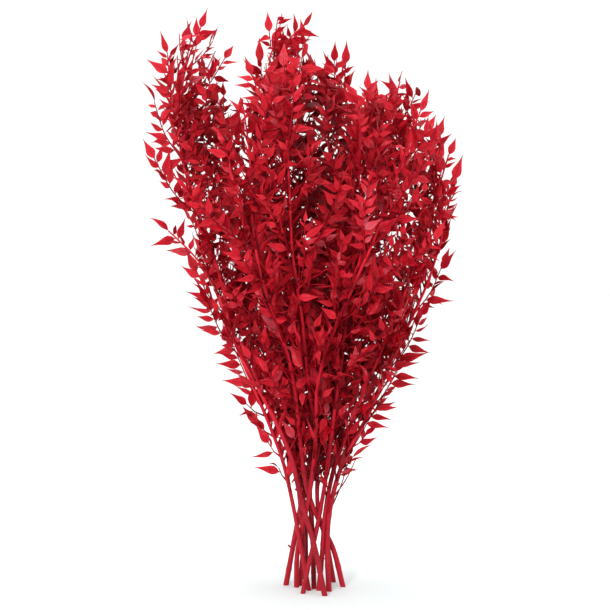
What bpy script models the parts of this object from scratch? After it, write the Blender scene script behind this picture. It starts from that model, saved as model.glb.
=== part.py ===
"""A bunch of twelve dried ruscus stems, dyed red, standing on its cut ends.

Each stem is one solid: a slender axis that bends up from its cut end, side twigs, and small
pointed leaves in two ranks along the twigs. The stems cross at a narrow waist just above
their cut ends and spread above it into a dense crown. Nothing in one stem crosses another.

Lengths are in metres, +Z is up, and the origin is the centre of the cut end of the inner stem.
The view that the names of the stems go by is from the front, along +Y.
"""

import itertools
import math
import random
from collections import namedtuple

import bmesh
import bpy
import numpy as np

# Stems. Each route runs from the middle of the cut end to the tip, as (x, y, z).
# The others lean on the first, or on one that does.
ROUTES = {
    "leafy_stem_middle": (
        (0.000, 0.000, 0.0), (-0.002, 0.005, 0.071), (-0.005, 0.010, 0.115),
        (-0.003, 0.015, 0.160), (0.003, 0.028, 0.234), (0.013, 0.042, 0.307),
        (0.018, 0.055, 0.404), (0.020, 0.060, 0.490), (0.016, 0.052, 0.560),
        (0.016, 0.042, 0.616),
    ),
    "leafy_stem_left_tall": (
        (0.013, -0.039, 0.0), (-0.001, -0.032, 0.062), (-0.012, -0.029, 0.096),
        (-0.030, -0.028, 0.173), (-0.068, -0.030, 0.251), (-0.094, -0.028, 0.303),
        (-0.108, -0.025, 0.369), (-0.130, -0.020, 0.436), (-0.150, -0.015, 0.490),
        (-0.161, -0.008, 0.550), (-0.156, 0.000, 0.605), (-0.145, 0.002, 0.645),
        (-0.134, 0.002, 0.670),
    ),
    "leafy_stem_left_low": (
        (-0.006, -0.009, 0.0), (-0.016, -0.008, 0.053), (-0.026, -0.008, 0.107),
        (-0.039, -0.012, 0.163), (-0.064, -0.016, 0.227), (-0.090, -0.018, 0.288),
        (-0.104, -0.015, 0.328), (-0.122, -0.010, 0.374), (-0.144, -0.006, 0.403),
        (-0.174, -0.004, 0.431),
    ),
    "leafy_stem_front_left": (
        (0.035, 0.012, 0.0), (0.019, 0.006, 0.058), (0.005, 0.003, 0.083),
        (-0.007, -0.001, 0.116), (-0.017, -0.016, 0.193), (-0.028, -0.044, 0.278),
        (-0.055, -0.074, 0.360), (-0.070, -0.080, 0.430), (-0.074, -0.062, 0.520),
        (-0.082, -0.044, 0.574),
    ),
    "leafy_stem_front": (
        (0.024, 0.039, 0.0), (0.015, 0.030, 0.053), (0.005, 0.022, 0.091),
        (0.004, 0.010, 0.135), (0.004, -0.004, 0.180), (-0.005, -0.028, 0.238),
        (-0.012, -0.066, 0.320), (-0.025, -0.092, 0.413), (-0.028, -0.088, 0.490),
        (-0.034, -0.062, 0.575), (-0.036, -0.052, 0.604), (-0.035, -0.046, 0.622),
    ),
    "leafy_stem_front_right": (
        (-0.013, -0.027, 0.0), (-0.007, -0.023, 0.029), (0.002, -0.019, 0.066),
        (0.012, -0.018, 0.122), (0.024, -0.030, 0.215), (0.033, -0.045, 0.282),
        (0.042, -0.060, 0.361), (0.050, -0.065, 0.431), (0.058, -0.055, 0.524),
        (0.062, -0.036, 0.596),
    ),
    "leafy_stem_right_front": (
        (-0.021, 0.009, 0.0), (-0.020, 0.006, 0.045), (-0.013, 0.000, 0.079),
        (-0.006, -0.008, 0.112), (0.002, -0.022, 0.180), (0.006, -0.054, 0.264),
        (0.023, -0.076, 0.316), (0.066, -0.092, 0.415), (0.088, -0.074, 0.470),
        (0.108, -0.036, 0.530), (0.124, -0.030, 0.568),
    ),
    "leafy_stem_right_tall": (
        (0.006, -0.009, 0.0), (0.010, -0.006, 0.044), (0.014, -0.003, 0.095),
        (0.025, -0.003, 0.150), (0.045, -0.010, 0.203), (0.089, -0.030, 0.314),
        (0.109, -0.030, 0.365), (0.128, -0.023, 0.425), (0.148, -0.016, 0.485),
        (0.159, -0.010, 0.520),
    ),
    "leafy_stem_right_low": (
        (0.018, -0.014, 0.0), (0.016, -0.013, 0.061), (0.019, -0.011, 0.096),
        (0.040, -0.005, 0.166), (0.062, 0.000, 0.204), (0.099, 0.005, 0.290),
        (0.126, 0.008, 0.345), (0.148, 0.010, 0.400), (0.155, 0.004, 0.442),
        (0.164, 0.002, 0.478),
    ),
    "leafy_stem_back_left": (
        (-0.017, 0.019, 0.0), (-0.013, 0.015, 0.057), (-0.016, 0.011, 0.095),
        (-0.021, 0.013, 0.145), (-0.024, 0.020, 0.196), (-0.030, 0.031, 0.250),
        (-0.054, 0.045, 0.344), (-0.088, 0.056, 0.429), (-0.112, 0.055, 0.502),
        (-0.122, 0.046, 0.550), (-0.120, 0.036, 0.582),
    ),
    "leafy_stem_back": (
        (-0.010, 0.036, 0.0), (-0.011, 0.030, 0.078), (-0.018, 0.037, 0.150),
        (-0.029, 0.045, 0.222), (-0.038, 0.058, 0.306), (-0.047, 0.076, 0.450),
        (-0.054, 0.064, 0.563), (-0.047, 0.046, 0.625), (-0.033, 0.036, 0.658),
        (-0.012, 0.034, 0.676),
    ),
    "leafy_stem_back_right": (
        (-0.034, 0.021, 0.0), (-0.025, 0.019, 0.050), (-0.017, 0.022, 0.092),
        (-0.009, 0.026, 0.130), (0.003, 0.034, 0.195), (0.015, 0.043, 0.255),
        (0.034, 0.057, 0.343), (0.056, 0.068, 0.441), (0.080, 0.066, 0.520),
        (0.104, 0.056, 0.610),
    ),
}
# Height of the lowest side twig of each stem
FIRST_TWIG = {
    "leafy_stem_left_tall": 0.185,
    "leafy_stem_left_low": 0.150,
    "leafy_stem_front_left": 0.185,
    "leafy_stem_front": 0.165,
    "leafy_stem_front_right": 0.165,
    "leafy_stem_right_front": 0.180,
    "leafy_stem_right_tall": 0.150,
    "leafy_stem_right_low": 0.130,
    "leafy_stem_middle": 0.150,
    "leafy_stem_back_left": 0.150,
    "leafy_stem_back": 0.145,
    "leafy_stem_back_right": 0.145,
}
# Shoots that reach to the crown's edge, as the stem, the height of the root, and the tip
SHOOTS = (
    ("leafy_stem_left_tall", 0.555, (-0.173, -0.006, 0.640)),
    ("leafy_stem_left_tall", 0.575, (-0.106, 0.006, 0.634)),
    ("leafy_stem_left_tall", 0.515, (-0.188, -0.014, 0.582)),
    ("leafy_stem_left_tall", 0.445, (-0.187, -0.026, 0.515)),
    ("leafy_stem_left_low", 0.330, (-0.138, -0.020, 0.382)),
    ("leafy_stem_left_low", 0.280, (-0.125, -0.026, 0.346)),
    ("leafy_stem_left_low", 0.215, (-0.096, -0.010, 0.294)),
    ("leafy_stem_back_left", 0.500, (-0.146, 0.058, 0.572)),
    ("leafy_stem_back", 0.575, (-0.064, 0.040, 0.632)),
    ("leafy_stem_back", 0.550, (-0.012, 0.062, 0.620)),
    ("leafy_stem_front", 0.545, (-0.072, -0.040, 0.612)),
    ("leafy_stem_middle", 0.545, (0.038, 0.038, 0.630)),
    ("leafy_stem_middle", 0.555, (0.024, 0.026, 0.632)),
    ("leafy_stem_middle", 0.530, (0.040, 0.050, 0.600)),
    ("leafy_stem_front_right", 0.530, (0.078, -0.040, 0.572)),
    ("leafy_stem_back_right", 0.540, (0.122, 0.040, 0.594)),
    ("leafy_stem_back_right", 0.525, (0.074, 0.050, 0.586)),
    ("leafy_stem_back_right", 0.345, (0.092, 0.050, 0.428)),
    ("leafy_stem_right_front", 0.495, (0.132, -0.040, 0.548)),
    ("leafy_stem_right_tall", 0.450, (0.146, 0.006, 0.540)),
    ("leafy_stem_right_tall", 0.430, (0.164, -0.024, 0.490)),
    ("leafy_stem_right_low", 0.385, (0.160, 0.010, 0.442)),
    ("leafy_stem_right_low", 0.330, (0.154, 0.014, 0.390)),
    ("leafy_stem_right_low", 0.262, (0.128, -0.004, 0.330)),
    ("leafy_stem_right_low", 0.190, (0.098, 0.002, 0.262)),
    ("leafy_stem_back", 0.635, (-0.054, 0.036, 0.668)),
    ("leafy_stem_left_low", 0.210, (-0.080, -0.018, 0.225)),
    ("leafy_stem_left_low", 0.185, (-0.066, -0.014, 0.202)),
    ("leafy_stem_left_low", 0.160, (-0.054, -0.014, 0.178)),
    ("leafy_stem_left_low", 0.130, (-0.042, -0.010, 0.148)),
    ("leafy_stem_right_low", 0.170, (0.062, -0.002, 0.186)),
    ("leafy_stem_right_low", 0.145, (0.046, -0.006, 0.160)),
)
SHOOT_BOW = 0.13  # how far a shoot bends out from the straight way to its tip, of its length
SHOOT_SHIFT = 0.004  # forward or back, with each new try
FOOT_RADIUS = 0.0033
TIP_RADIUS = 0.0009
GIRTHS = (0.86, 1.02)  # the thinnest and the thickest stem's foot, of that radius
TAPER = 0.9  # below 1, a stem keeps its thickness for longer
STEM_SIDES = 6
LEVEL = 0.005  # height between the points of a stem's centre line
LEVELS_A_RING = ((0.16, 3), (0.34, 8), (1.0, 10))  # below each height, levels from ring to ring
LEVELS_A_LEADER_RING = 4  # and in the top of a stem
STEM_GAP = 0.00015  # air that stems keep where they pass each other
LEAN_GAP = 0.00025  # stems closer than this lean on each other
WAIST = (0.035, 0.165)  # the heights between which they lean on each other
CROSSING = 0.8  # of their two radii, how near two stems' middles are where one passes the other
LEAN_REACH = 0.040  # height over which a stem is bent to lean on its neighbour
LONGEST_PULL = 0.0005
SMOOTHING = 3  # times that a bend is eased out into the levels round it
BENDING_ROUNDS = 400

# What is left of twigs on the bare part: stem, height, compass angle, length
STUBS = (
    ("leafy_stem_back_right", 0.046, 205, 0.0080),
    ("leafy_stem_right_tall", 0.036, 300, 0.0062),
    ("leafy_stem_left_tall", 0.118, 190, 0.0060),
    ("leafy_stem_right_low", 0.127, 20, 0.0070),
    ("leafy_stem_back", 0.104, 80, 0.0070),
)
STUB_RADIUS = 0.0013
STUB_TAPER = 0.8
STUB_RISE = 0.7
STUB_SIDES = 5

# Side twigs
TWIG_STEP = 0.0345  # from one twig to the next along its stem
TWIG_STRAY = 0.25  # of that step
TWIG_LONGEST = 0.118
TWIG_SHORTEST = 0.026
TWIG_SIZES = ((0, 0.3, 0.6, 0.85, 1), (0.50, 0.86, 1.0, 0.88, 0.62))  # share of the way up, size
TWIG_SIZE_SPREAD = (0.86, 1.1)
TWIG_RADIUS = 0.00115
TWIG_TIP_RADIUS = 0.0007
TWIG_SIDES = 3
TWIG_STRETCH = 0.042  # about the length of the straight stretches in a twig's centre line
TURN = 137.5  # degrees round the stem from one twig to the next
TURN_SPREAD = 14
ANGLE_AT_ROOT = 48  # between a twig and its stem
ANGLE_AT_TIP = 28
LEADER = 0.052  # the top of a stem, which carries leaves of its own as a twig does
FAN_UP = 0.8  # how much a twig's fan of leaves faces up, against 1 outward
FAN_TURN = 55
EDGE_FAN_WISH = (0.0, -1.0, 0.3)  # a shoot's fan, and that of a stem's top, faces the front
EDGE_FAN_TURN = 35
TWIG_GAP = 0.0011
TWIG_HELD = 0.006  # the stretch at its root that is left out of the test for room
TWIG_TRIES = 16
TWIG_SHORTENING = 0.05  # of its length, with each new try
LEAVES_BEYOND = 0.010  # how far the leaf tips of such a twig reach over the crown's outline
SHOOT_LEAVES_BEYOND = 0.080  # and those of a shoot or of a stem's top

# Leaves
LEAF_LENGTH = (0.020, 0.031)
EDGE_LEAF_LENGTH = (0.024, 0.036)  # of those on shoots and on the tops of stems
LEAF_WIDTH = 0.34  # of its length
LEAF_ANGLE = 50  # from the twig, forward
LEAF_ANGLE_SPREAD = 15
LEAF_ROLL = 40
LEAF_LIFT = 24
LEAF_RETRY_ROLL = 17  # more of each with every new try
LEAF_RETRY_LIFT = 8
LEAF_OUTLINE = (  # forward in lengths, sideways and up in widths
    (0.00, 0.00, 0.00), (0.29, 0.50, 0.04), (0.62, 0.27, 0.02),
    (1.00, 0.00, -0.10), (0.62, -0.27, 0.02), (0.29, -0.50, 0.04),
)
LEAF_RIDGE = 0.42  # where along it a leaf is thickest
LEAF_HALF_THICKNESS = 0.0006
LEAF_STEP = 0.0094
FIRST_LEAF = 0.013
LEAF_SUNK = 0.0014  # how far the leaf that ends a twig reaches into it
LEAF_PITCH = 5  # of the places along a twig, every fifth one carries a leaf here
STEM_LEAF_LENGTH = (0.028, 0.038)  # the leaves that sit on a stem itself are the largest
STEM_LEAF_STEP = 0.060
STEM_LEAF_ANGLE = 42
STEM_LEAF_ANGLE_SPREAD = 8
STEM_LEAF_TURN_SPREAD = 20
STEM_LEAF_RETRY_TURN = 37
STEM_LEAF_ROLL = 50
LEAF_ROD = (0.2, 0.75, 1.0)  # places along a leaf, for the rod that stands for it in tests for room
LEAF_ROD_WIDTHS = (0.5, 0.5, 0.15)
LEAF_TIP_WIDTH = 0.33  # of its width, how thick the rod is counted from there to the tip
LEAF_GAP = 0.0006
LEAF_TRIES = 9

# The outline of the crown's thick part from the front, as (z, x), its half depth as (z, y), and
# the V between the left spray and the middle one
OUTLINE_LEFT = (
    (0.13, -0.028), (0.18, -0.040), (0.23, -0.057), (0.27, -0.078), (0.30, -0.100),
    (0.35, -0.122), (0.39, -0.137), (0.44, -0.149), (0.47, -0.162), (0.52, -0.170),
    (0.56, -0.181), (0.60, -0.190), (0.63, -0.182), (0.65, -0.164), (0.70, -0.140),
)
OUTLINE_RIGHT = (
    (0.13, 0.040), (0.18, 0.060), (0.23, 0.086), (0.27, 0.104), (0.30, 0.116),
    (0.35, 0.132), (0.40, 0.147), (0.46, 0.154), (0.52, 0.155), (0.55, 0.147),
    (0.57, 0.128), (0.59, 0.098), (0.60, 0.070), (0.61, 0.044), (0.63, 0.016), (0.65, 0.000),
    (0.70, -0.010),
)
VALLEY_LEFT = ((0.570, -0.089), (0.600, -0.111), (0.650, -0.116), (0.700, -0.130))
VALLEY_RIGHT = ((0.570, -0.089), (0.600, -0.074), (0.630, -0.066), (0.650, -0.058), (0.700, -0.040))
HALF_DEPTH = (
    (0.14, 0.050), (0.20, 0.075), (0.28, 0.110), (0.38, 0.145), (0.50, 0.150),
    (0.60, 0.120), (0.70, 0.070),
)
SQUARENESS = 3  # of the crown's cross-section: 2 is an ellipse

RED = (0.330, 0.012, 0.022, 1.0)
ROUGHNESS = 0.62
SMOOTH_UNDER = math.radians(65)  # between two faces of a round stem

TINY = 1e-9  # keeps a division away from zero

Twig = namedtuple("Twig", "line radii facing reach owner")
Leaf = namedtuple("Leaf", "root along face length width")


def seeded(*key):
    """Random draws that depend on the key alone."""
    return random.Random("-".join(str(part) for part in key))


def unit(vector):
    return vector / np.linalg.norm(vector)


def level_count(name):
    return round(ROUTES[name][-1][2] / LEVEL) + 1


def stem_radius(name, z):
    """A stem is thickest at its cut end, and each differs a little from the next."""
    share = np.clip(z / ROUTES[name][-1][2], 0, 1)
    foot = FOOT_RADIUS * seeded(name, "girth").uniform(*GIRTHS)
    return TIP_RADIUS + (foot - TIP_RADIUS) * (1 - share) ** TAPER


def on_smooth_curve(route, heights):
    """x and y at each height on a smooth curve through the route's points."""
    x, y, z = np.array(route).T
    plan = np.stack([x, y], axis=1)
    slope = np.gradient(plan, z, axis=0)
    heights = np.minimum(heights, z[-1])
    after = np.clip(np.searchsorted(z, heights, side="right"), 1, len(z) - 1)
    before = after - 1
    span = (z[after] - z[before])[:, None]
    t = (heights - z[before])[:, None] / span
    return (
        (1 + 2 * t) * (1 - t) ** 2 * plan[before]
        + t * (1 - t) ** 2 * span * slope[before]
        + t**2 * (3 - 2 * t) * plan[after]
        - t**2 * (1 - t) * span * slope[after]
    )


def ring_places(name):
    """The levels at which a stem has a ring, closer together where stems cross."""
    last = level_count(name) - 1
    places = [0]
    leader = last - round(LEADER / LEVEL)
    while places[-1] < last:
        height = places[-1] * LEVEL
        step = next(step for below, step in LEVELS_A_RING if height < below)
        if places[-1] + step > leader:
            step = LEVELS_A_LEADER_RING
        places.append(min(places[-1] + step, last))
    return places


def gaps_between(plans, radii):
    """Air between every two stems at every level, and far too much of it above a tip."""
    apart = plans[:, None] - plans[None, :]
    air = np.linalg.norm(apart, axis=3) - radii[:, None] - radii[None, :]
    air[np.arange(len(plans)), np.arange(len(plans))] = np.inf
    return apart, air


def push_apart(apart, air):
    """How far each stem gives way, level by level, where two are closer than they may be."""
    short = np.maximum(STEM_GAP - air, 0)
    distance = np.maximum(np.linalg.norm(apart, axis=3), TINY)
    return (apart * (0.5 * short / distance)[..., None]).sum(axis=1)


def pull_loose(plans, radii, air):
    """How far each stem that touches none of the group round the first one is bent towards it.

    A stem is bent forward or back only, to where it passes in front of or behind another.
    """
    levels = np.arange(plans.shape[1])
    heights = levels * LEVEL
    waist = (heights > WAIST[0]) & (heights < WAIST[1])
    joined = {0}
    loose = set(range(1, len(plans)))
    while found := {a for a in loose if air[a, list(joined)][:, waist].min() < LEAN_GAP}:
        joined |= found
        loose -= found
    pull = np.zeros_like(plans)
    for a in loose:
        group = sorted(joined)
        apart = plans[group] - plans[a]
        reach = radii[group] + radii[a]
        crossing = (np.abs(apart[..., 0]) < CROSSING * reach) & waist
        touching = np.sqrt(np.where(crossing, reach**2 - apart[..., 0] ** 2, 0))
        missing = np.where(crossing, np.abs(apart[..., 1]) - touching - STEM_GAP, np.inf)
        b, level = np.unravel_index(missing.argmin(), missing.shape)
        if missing[b, level] < np.inf:
            near = np.exp(-(((heights - heights[level]) / LEAN_REACH) ** 2))
            way = np.sign(apart[b, level, 1])
            pull[a, :, 1] = way * min(missing[b, level], LONGEST_PULL) * near
    return pull


def stem_lines():
    """Every stem's centre line: clear of the others, leaning on them, straight from ring to ring."""
    names = list(ROUTES)
    levels = np.arange(max(level_count(name) for name in names))
    heights = levels * LEVEL
    plans = np.array([on_smooth_curve(ROUTES[name], heights) for name in names])
    radii = np.array([stem_radius(name, heights) for name in names])
    for row, name in enumerate(names):
        radii[row, level_count(name):] = -np.inf  # no stem there
    rings = [np.array(ring_places(name)) for name in names]
    for _ in range(BENDING_ROUNDS):
        apart, air = gaps_between(plans, radii)
        move = push_apart(apart, air) + pull_loose(plans, radii, air)
        if not move.any():
            break
        for _ in range(SMOOTHING):
            move[:, 1:-1] = (move[:, :-2] + 2 * move[:, 1:-1] + move[:, 2:]) / 4
        move[:, 0] = 0
        plans += move
        for plan, places in zip(plans, rings):
            for side in (0, 1):
                plan[:, side] = np.interp(levels, places, plan[places, side])
    return {
        name: np.column_stack([plan, heights])[: level_count(name)]
        for name, plan in zip(names, plans)
    }


class Space:
    """The rods that are in place already, so that a new one can be tested for room."""

    def __init__(self):
        self.starts = np.empty((0, 3))
        self.ends = np.empty((0, 3))
        self.radii = np.empty(0)
        self.owners = np.empty(0, int)
        self.named = itertools.count()

    def add(self, line, radii, owner):
        self.starts = np.concatenate([self.starts, line[:-1]])
        self.ends = np.concatenate([self.ends, line[1:]])
        self.radii = np.concatenate([self.radii, np.maximum(radii[:-1], radii[1:])])
        self.owners = np.concatenate([self.owners, np.full(len(line) - 1, owner)])

    def room(self, line, radius, ignored):
        """The least clearance round a rod of this radius along the line, from all but one's rods."""
        others = self.owners != ignored
        starts, ends, radii = self.starts[others], self.ends[others], self.radii[others]
        return min(
            (rod_distance(p, q, starts, ends) - radii).min() - radius
            for p, q in zip(line[:-1], line[1:])
        )


def rod_distance(p, q, starts, ends):
    """Distance from the segment p to q to each segment of starts to ends."""
    u = q - p
    v = ends - starts
    w = p - starts
    uu = u @ u
    uv = v @ u
    vv = (v * v).sum(axis=1)
    uw = w @ u
    vw = (v * w).sum(axis=1)
    skew = np.maximum(uu * vv - uv * uv, TINY**2)
    s = np.clip((uv * vw - vv * uw) / skew, 0, 1)
    t = np.clip((uv * s + vw) / vv, 0, 1)
    s = np.clip((uv * t - uw) / uu, 0, 1)
    return np.linalg.norm(w + s[:, None] * u - t[:, None] * v, axis=1)


def in_outline(point, reach=0.0):
    """Whether a point is inside the crown, or no further than that outside it."""
    x, y, z = point
    if np.interp(z, *zip(*VALLEY_LEFT)) + reach < x < np.interp(z, *zip(*VALLEY_RIGHT)) - reach:
        return False
    left = np.interp(z, *zip(*OUTLINE_LEFT)) - reach
    right = np.interp(z, *zip(*OUTLINE_RIGHT)) + reach
    depth = np.interp(z, *zip(*HALF_DEPTH)) + reach
    middle = (left + right) / 2
    half = (right - left) / 2
    if not left < x < right:
        return False
    return (abs(x - middle) / half) ** SQUARENESS + (abs(y) / depth) ** SQUARENESS < 1


def along(line, distance):
    """The point that far along a line, and the line's direction there."""
    steps = np.linalg.norm(np.diff(line, axis=0), axis=1)
    reached = np.concatenate([[0], np.cumsum(steps)])
    k = int(np.clip(np.searchsorted(reached, distance) - 1, 0, len(steps) - 1))
    direction = (line[k + 1] - line[k]) / steps[k]
    return line[k] + direction * (distance - reached[k]), direction


def line_length(line):
    return np.linalg.norm(np.diff(line, axis=0), axis=1).sum()


def away_from(axis, compass):
    """The direction square to a stem that lies at this angle round it."""
    right = unit(np.cross((0.0, 1.0, 0.0), axis))
    return math.cos(compass) * right + math.sin(compass) * np.cross(axis, right)


def twig_line(root, axis, compass, length):
    """A twig that leaves its stem at an angle and curves up towards the stem's direction."""
    out = away_from(axis, compass)
    points = [root]
    count = max(round(length / TWIG_STRETCH), 2)
    for share in np.linspace(0, 1, count):
        angle = math.radians(ANGLE_AT_ROOT + (ANGLE_AT_TIP - ANGLE_AT_ROOT) * share)
        step = math.cos(angle) * axis + math.sin(angle) * out
        points.append(points[-1] + step * length / count)
    return np.array(points)


def shoot_line(root, axis, tip):
    """A shoot that sets off outward and bends up on its way to its tip."""
    chord = tip - root
    length = np.linalg.norm(chord)
    out = unit(chord - axis * (chord @ axis))
    bend = root + chord / 2 + (out - axis) * SHOOT_BOW * length
    share = np.linspace(0, 1, max(round(length / TWIG_STRETCH), 2) + 1)[:, None]
    return (1 - share) ** 2 * root + 2 * share * (1 - share) * bend + share**2 * tip


def twig_radii(line):
    return np.linspace(TWIG_RADIUS, TWIG_TIP_RADIUS, len(line))


def facing_of(line, wish, most_turn, draws):
    """The way the flat side of a twig's fan of leaves faces: as near as can be to a wish, then turned."""
    direction = unit(line[-1] - line[0])
    facing = unit(wish - direction * (wish @ direction))
    turn = math.radians(draws.uniform(-most_turn, most_turn))
    return unit(math.cos(turn) * facing + math.sin(turn) * np.cross(direction, facing))


def fan_facing(line, draws):
    """Up and outward, as the fan of a twig inside the crown faces."""
    outward = unit(np.array([line[-1][0], line[-1][1], TINY]))
    return facing_of(line, outward + np.array([0.0, 0.0, FAN_UP]), FAN_TURN, draws)


def edge_facing(line, draws):
    return facing_of(line, np.array(EDGE_FAN_WISH), EDGE_FAN_TURN, draws)


def twig_fits(line, stem_owner, space):
    beyond = np.array([along(line, TWIG_HELD)[0], *line[1:]])
    return space.room(beyond, TWIG_RADIUS, stem_owner) > TWIG_GAP


def new_twig(line, facing, reach, space):
    owner = next(space.named)
    space.add(line, twig_radii(line), owner)
    return Twig(line, twig_radii(line), facing, reach, owner)


def grow_shoots(name, stem, stem_owner, space):
    """The shoots of one stem that make the crown's edge, each to its own tip."""
    shoots = []
    for number, (stem_name, height, tip) in enumerate(SHOOTS):
        if stem_name != name:
            continue
        place = round(height / LEVEL)
        axis = unit(stem[place + 2] - stem[place - 2])
        for attempt in range(TWIG_TRIES):
            shift = (0.0, (-1) ** attempt * SHOOT_SHIFT * attempt, 0.0)
            line = shoot_line(stem[place], axis, np.add(tip, shift))
            if twig_fits(line, stem_owner, space):
                facing = edge_facing(line, seeded("shoot", number))
                shoots.append(new_twig(line, facing, SHOOT_LEAVES_BEYOND, space))
                break
    return shoots


def grow_twigs(name, stem, stem_owner, space):
    """The side twigs of one stem, placed round it from the lowest to the highest."""
    twigs = []
    first = FIRST_TWIG[name]
    last = stem[-1][2] - LEADER
    steps = int((last - first) / TWIG_STEP)
    compass = seeded(name, "first").uniform(0, 2 * math.pi)
    for number in range(steps + 1):
        draws = seeded(name, "twig", number)
        share = (number + draws.uniform(-TWIG_STRAY, TWIG_STRAY)) / steps
        place = round((first + (last - first) * share) / LEVEL)
        axis = unit(stem[place + 2] - stem[place - 2])
        size = np.interp(share, *TWIG_SIZES) * draws.uniform(*TWIG_SIZE_SPREAD)
        compass += math.radians(TURN)
        for attempt in range(TWIG_TRIES):
            turned = compass + math.radians(draws.uniform(-TURN_SPREAD, TURN_SPREAD)) * (1 + attempt)
            length = max(TWIG_LONGEST * size * (1 - TWIG_SHORTENING * attempt), TWIG_SHORTEST)
            line = twig_line(stem[place], axis, turned, length)
            if in_outline(line[-1]) and twig_fits(line, stem_owner, space):
                twigs.append(new_twig(line, fan_facing(line, draws), LEAVES_BEYOND, space))
                break
    return twigs


def leader_of(name, stem, owner):
    """The top of a stem, as a twig that has no rod of its own."""
    start = stem[-1][2] - LEADER
    line = stem[stem[:, 2] > start]
    facing = edge_facing(line, seeded(name, "leader"))
    return Twig(line, stem_radius(name, line[:, 2]), facing, SHOOT_LEAVES_BEYOND, owner)


def turned_to(vector, other, degrees):
    """A direction turned that far towards another that is square to it."""
    angle = math.radians(degrees)
    return unit(math.cos(angle) * vector + math.sin(angle) * other)


def leaf_at(twig, distance, side, draws, attempt):
    """One leaf of a twig: side is 1 or -1, or 0 for the leaf that ends the twig."""
    root, direction = along(twig.line, distance)
    across = unit(np.cross(twig.facing, direction))
    angle = math.radians(LEAF_ANGLE + draws.uniform(-LEAF_ANGLE_SPREAD, LEAF_ANGLE_SPREAD)) * side
    flat = math.cos(angle) * direction + math.sin(angle) * across
    face = unit(twig.facing - flat * (twig.facing @ flat))
    roll = draws.uniform(-LEAF_ROLL, LEAF_ROLL) + (-1) ** attempt * LEAF_RETRY_ROLL * attempt
    lift = draws.uniform(-LEAF_LIFT, LEAF_LIFT) + (-1) ** (attempt // 2) * LEAF_RETRY_LIFT * attempt
    pointing = turned_to(flat, face, lift)
    face = turned_to(np.cross(np.cross(pointing, face), pointing), np.cross(pointing, face), roll)
    length = draws.uniform(*(EDGE_LEAF_LENGTH if twig.reach == SHOOT_LEAVES_BEYOND else LEAF_LENGTH))
    return Leaf(root, pointing, face, length, length * LEAF_WIDTH)


def stem_leaf(name, stem, number, compass, attempt):
    """A large leaf that sits on the stem between two twigs."""
    draws = seeded(name, "stem leaf", number)
    height = FIRST_TWIG[name] + number * STEM_LEAF_STEP
    place = round(height / LEVEL)
    axis = unit(stem[place + 2] - stem[place - 2])
    stray = draws.uniform(-STEM_LEAF_TURN_SPREAD, STEM_LEAF_TURN_SPREAD)
    sideways = away_from(axis, compass + math.radians(stray + STEM_LEAF_RETRY_TURN * attempt))
    angle = STEM_LEAF_ANGLE + draws.uniform(-STEM_LEAF_ANGLE_SPREAD, STEM_LEAF_ANGLE_SPREAD)
    pointing = turned_to(axis, sideways, angle)
    flat = np.cross(axis, sideways)
    face = turned_to(np.cross(pointing, flat), flat, draws.uniform(-STEM_LEAF_ROLL, STEM_LEAF_ROLL))
    length = draws.uniform(*STEM_LEAF_LENGTH)
    return Leaf(stem[place], pointing, face, length, length * LEAF_WIDTH)


def leaf_rod(leaf):
    """A leaf's place as a short rod, from where it widens to its tip."""
    return np.array([leaf.root + leaf.along * leaf.length * share for share in LEAF_ROD])


def leaf_radii(leaf):
    return np.array(LEAF_ROD_WIDTHS) * leaf.width


def leaf_fits(leaf, reach, owner, space):
    """Whether a leaf's tip is in the crown, or within reach of it, and clear of all but its twig."""
    rod = leaf_rod(leaf)
    if not in_outline(rod[-1], reach):
        return False
    wide = space.room(rod[:2], leaf.width / 2, owner)
    tip = space.room(rod[1:], leaf.width * LEAF_TIP_WIDTH, owner)
    return min(wide, tip) > LEAF_GAP


def grow_stem_leaves(name, stem, owner, space):
    """The large leaves along the stem itself, each on another side than the last."""
    leaves = []
    reach = stem[-1][2] - LEADER - FIRST_TWIG[name]
    compass = seeded(name, "leaf side").uniform(0, 2 * math.pi)
    for number in range(int(reach / STEM_LEAF_STEP) + 1):
        compass += math.radians(TURN)
        for attempt in range(LEAF_TRIES):
            leaf = stem_leaf(name, stem, number, compass, attempt)
            if leaf_fits(leaf, SHOOT_LEAVES_BEYOND, owner, space):
                space.add(leaf_rod(leaf), leaf_radii(leaf), owner)
                leaves.append(leaf)
                break
    return leaves


def grow_leaves(name, twigs, space):
    """Leaves at the tip of every twig and at every few places down from it."""
    leaves = []
    for number, twig in enumerate(twigs):
        length = line_length(twig.line)
        places = int((length - FIRST_LEAF) / LEAF_STEP)
        for place in range(0, places + 1, LEAF_PITCH):
            side = 0 if place == 0 else (-1) ** (place + number)
            for attempt in range(LEAF_TRIES):
                draws = seeded(name, "leaf", number, place)
                distance = length - LEAF_SUNK - place * LEAF_STEP
                leaf = leaf_at(twig, distance, side, draws, attempt)
                if leaf_fits(leaf, twig.reach, twig.owner, space):
                    space.add(leaf_rod(leaf), leaf_radii(leaf), twig.owner)
                    leaves.append(leaf)
                    break
    return leaves


def material():
    red = bpy.data.materials.new("dyed_ruscus")
    red.use_nodes = True
    shader = red.node_tree.nodes["Principled BSDF"]
    shader.inputs["Base Color"].default_value = RED
    shader.inputs["Roughness"].default_value = ROUGHNESS
    shader.inputs["Metallic"].default_value = 0.0
    return red


def new_object(name, bm, collection, red):
    bmesh.ops.recalc_face_normals(bm, faces=bm.faces)
    mesh = bpy.data.meshes.new(name)
    bm.to_mesh(mesh)
    bm.free()
    mesh.materials.append(red)
    thing = bpy.data.objects.new(name, mesh)
    collection.objects.link(thing)
    return thing


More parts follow.
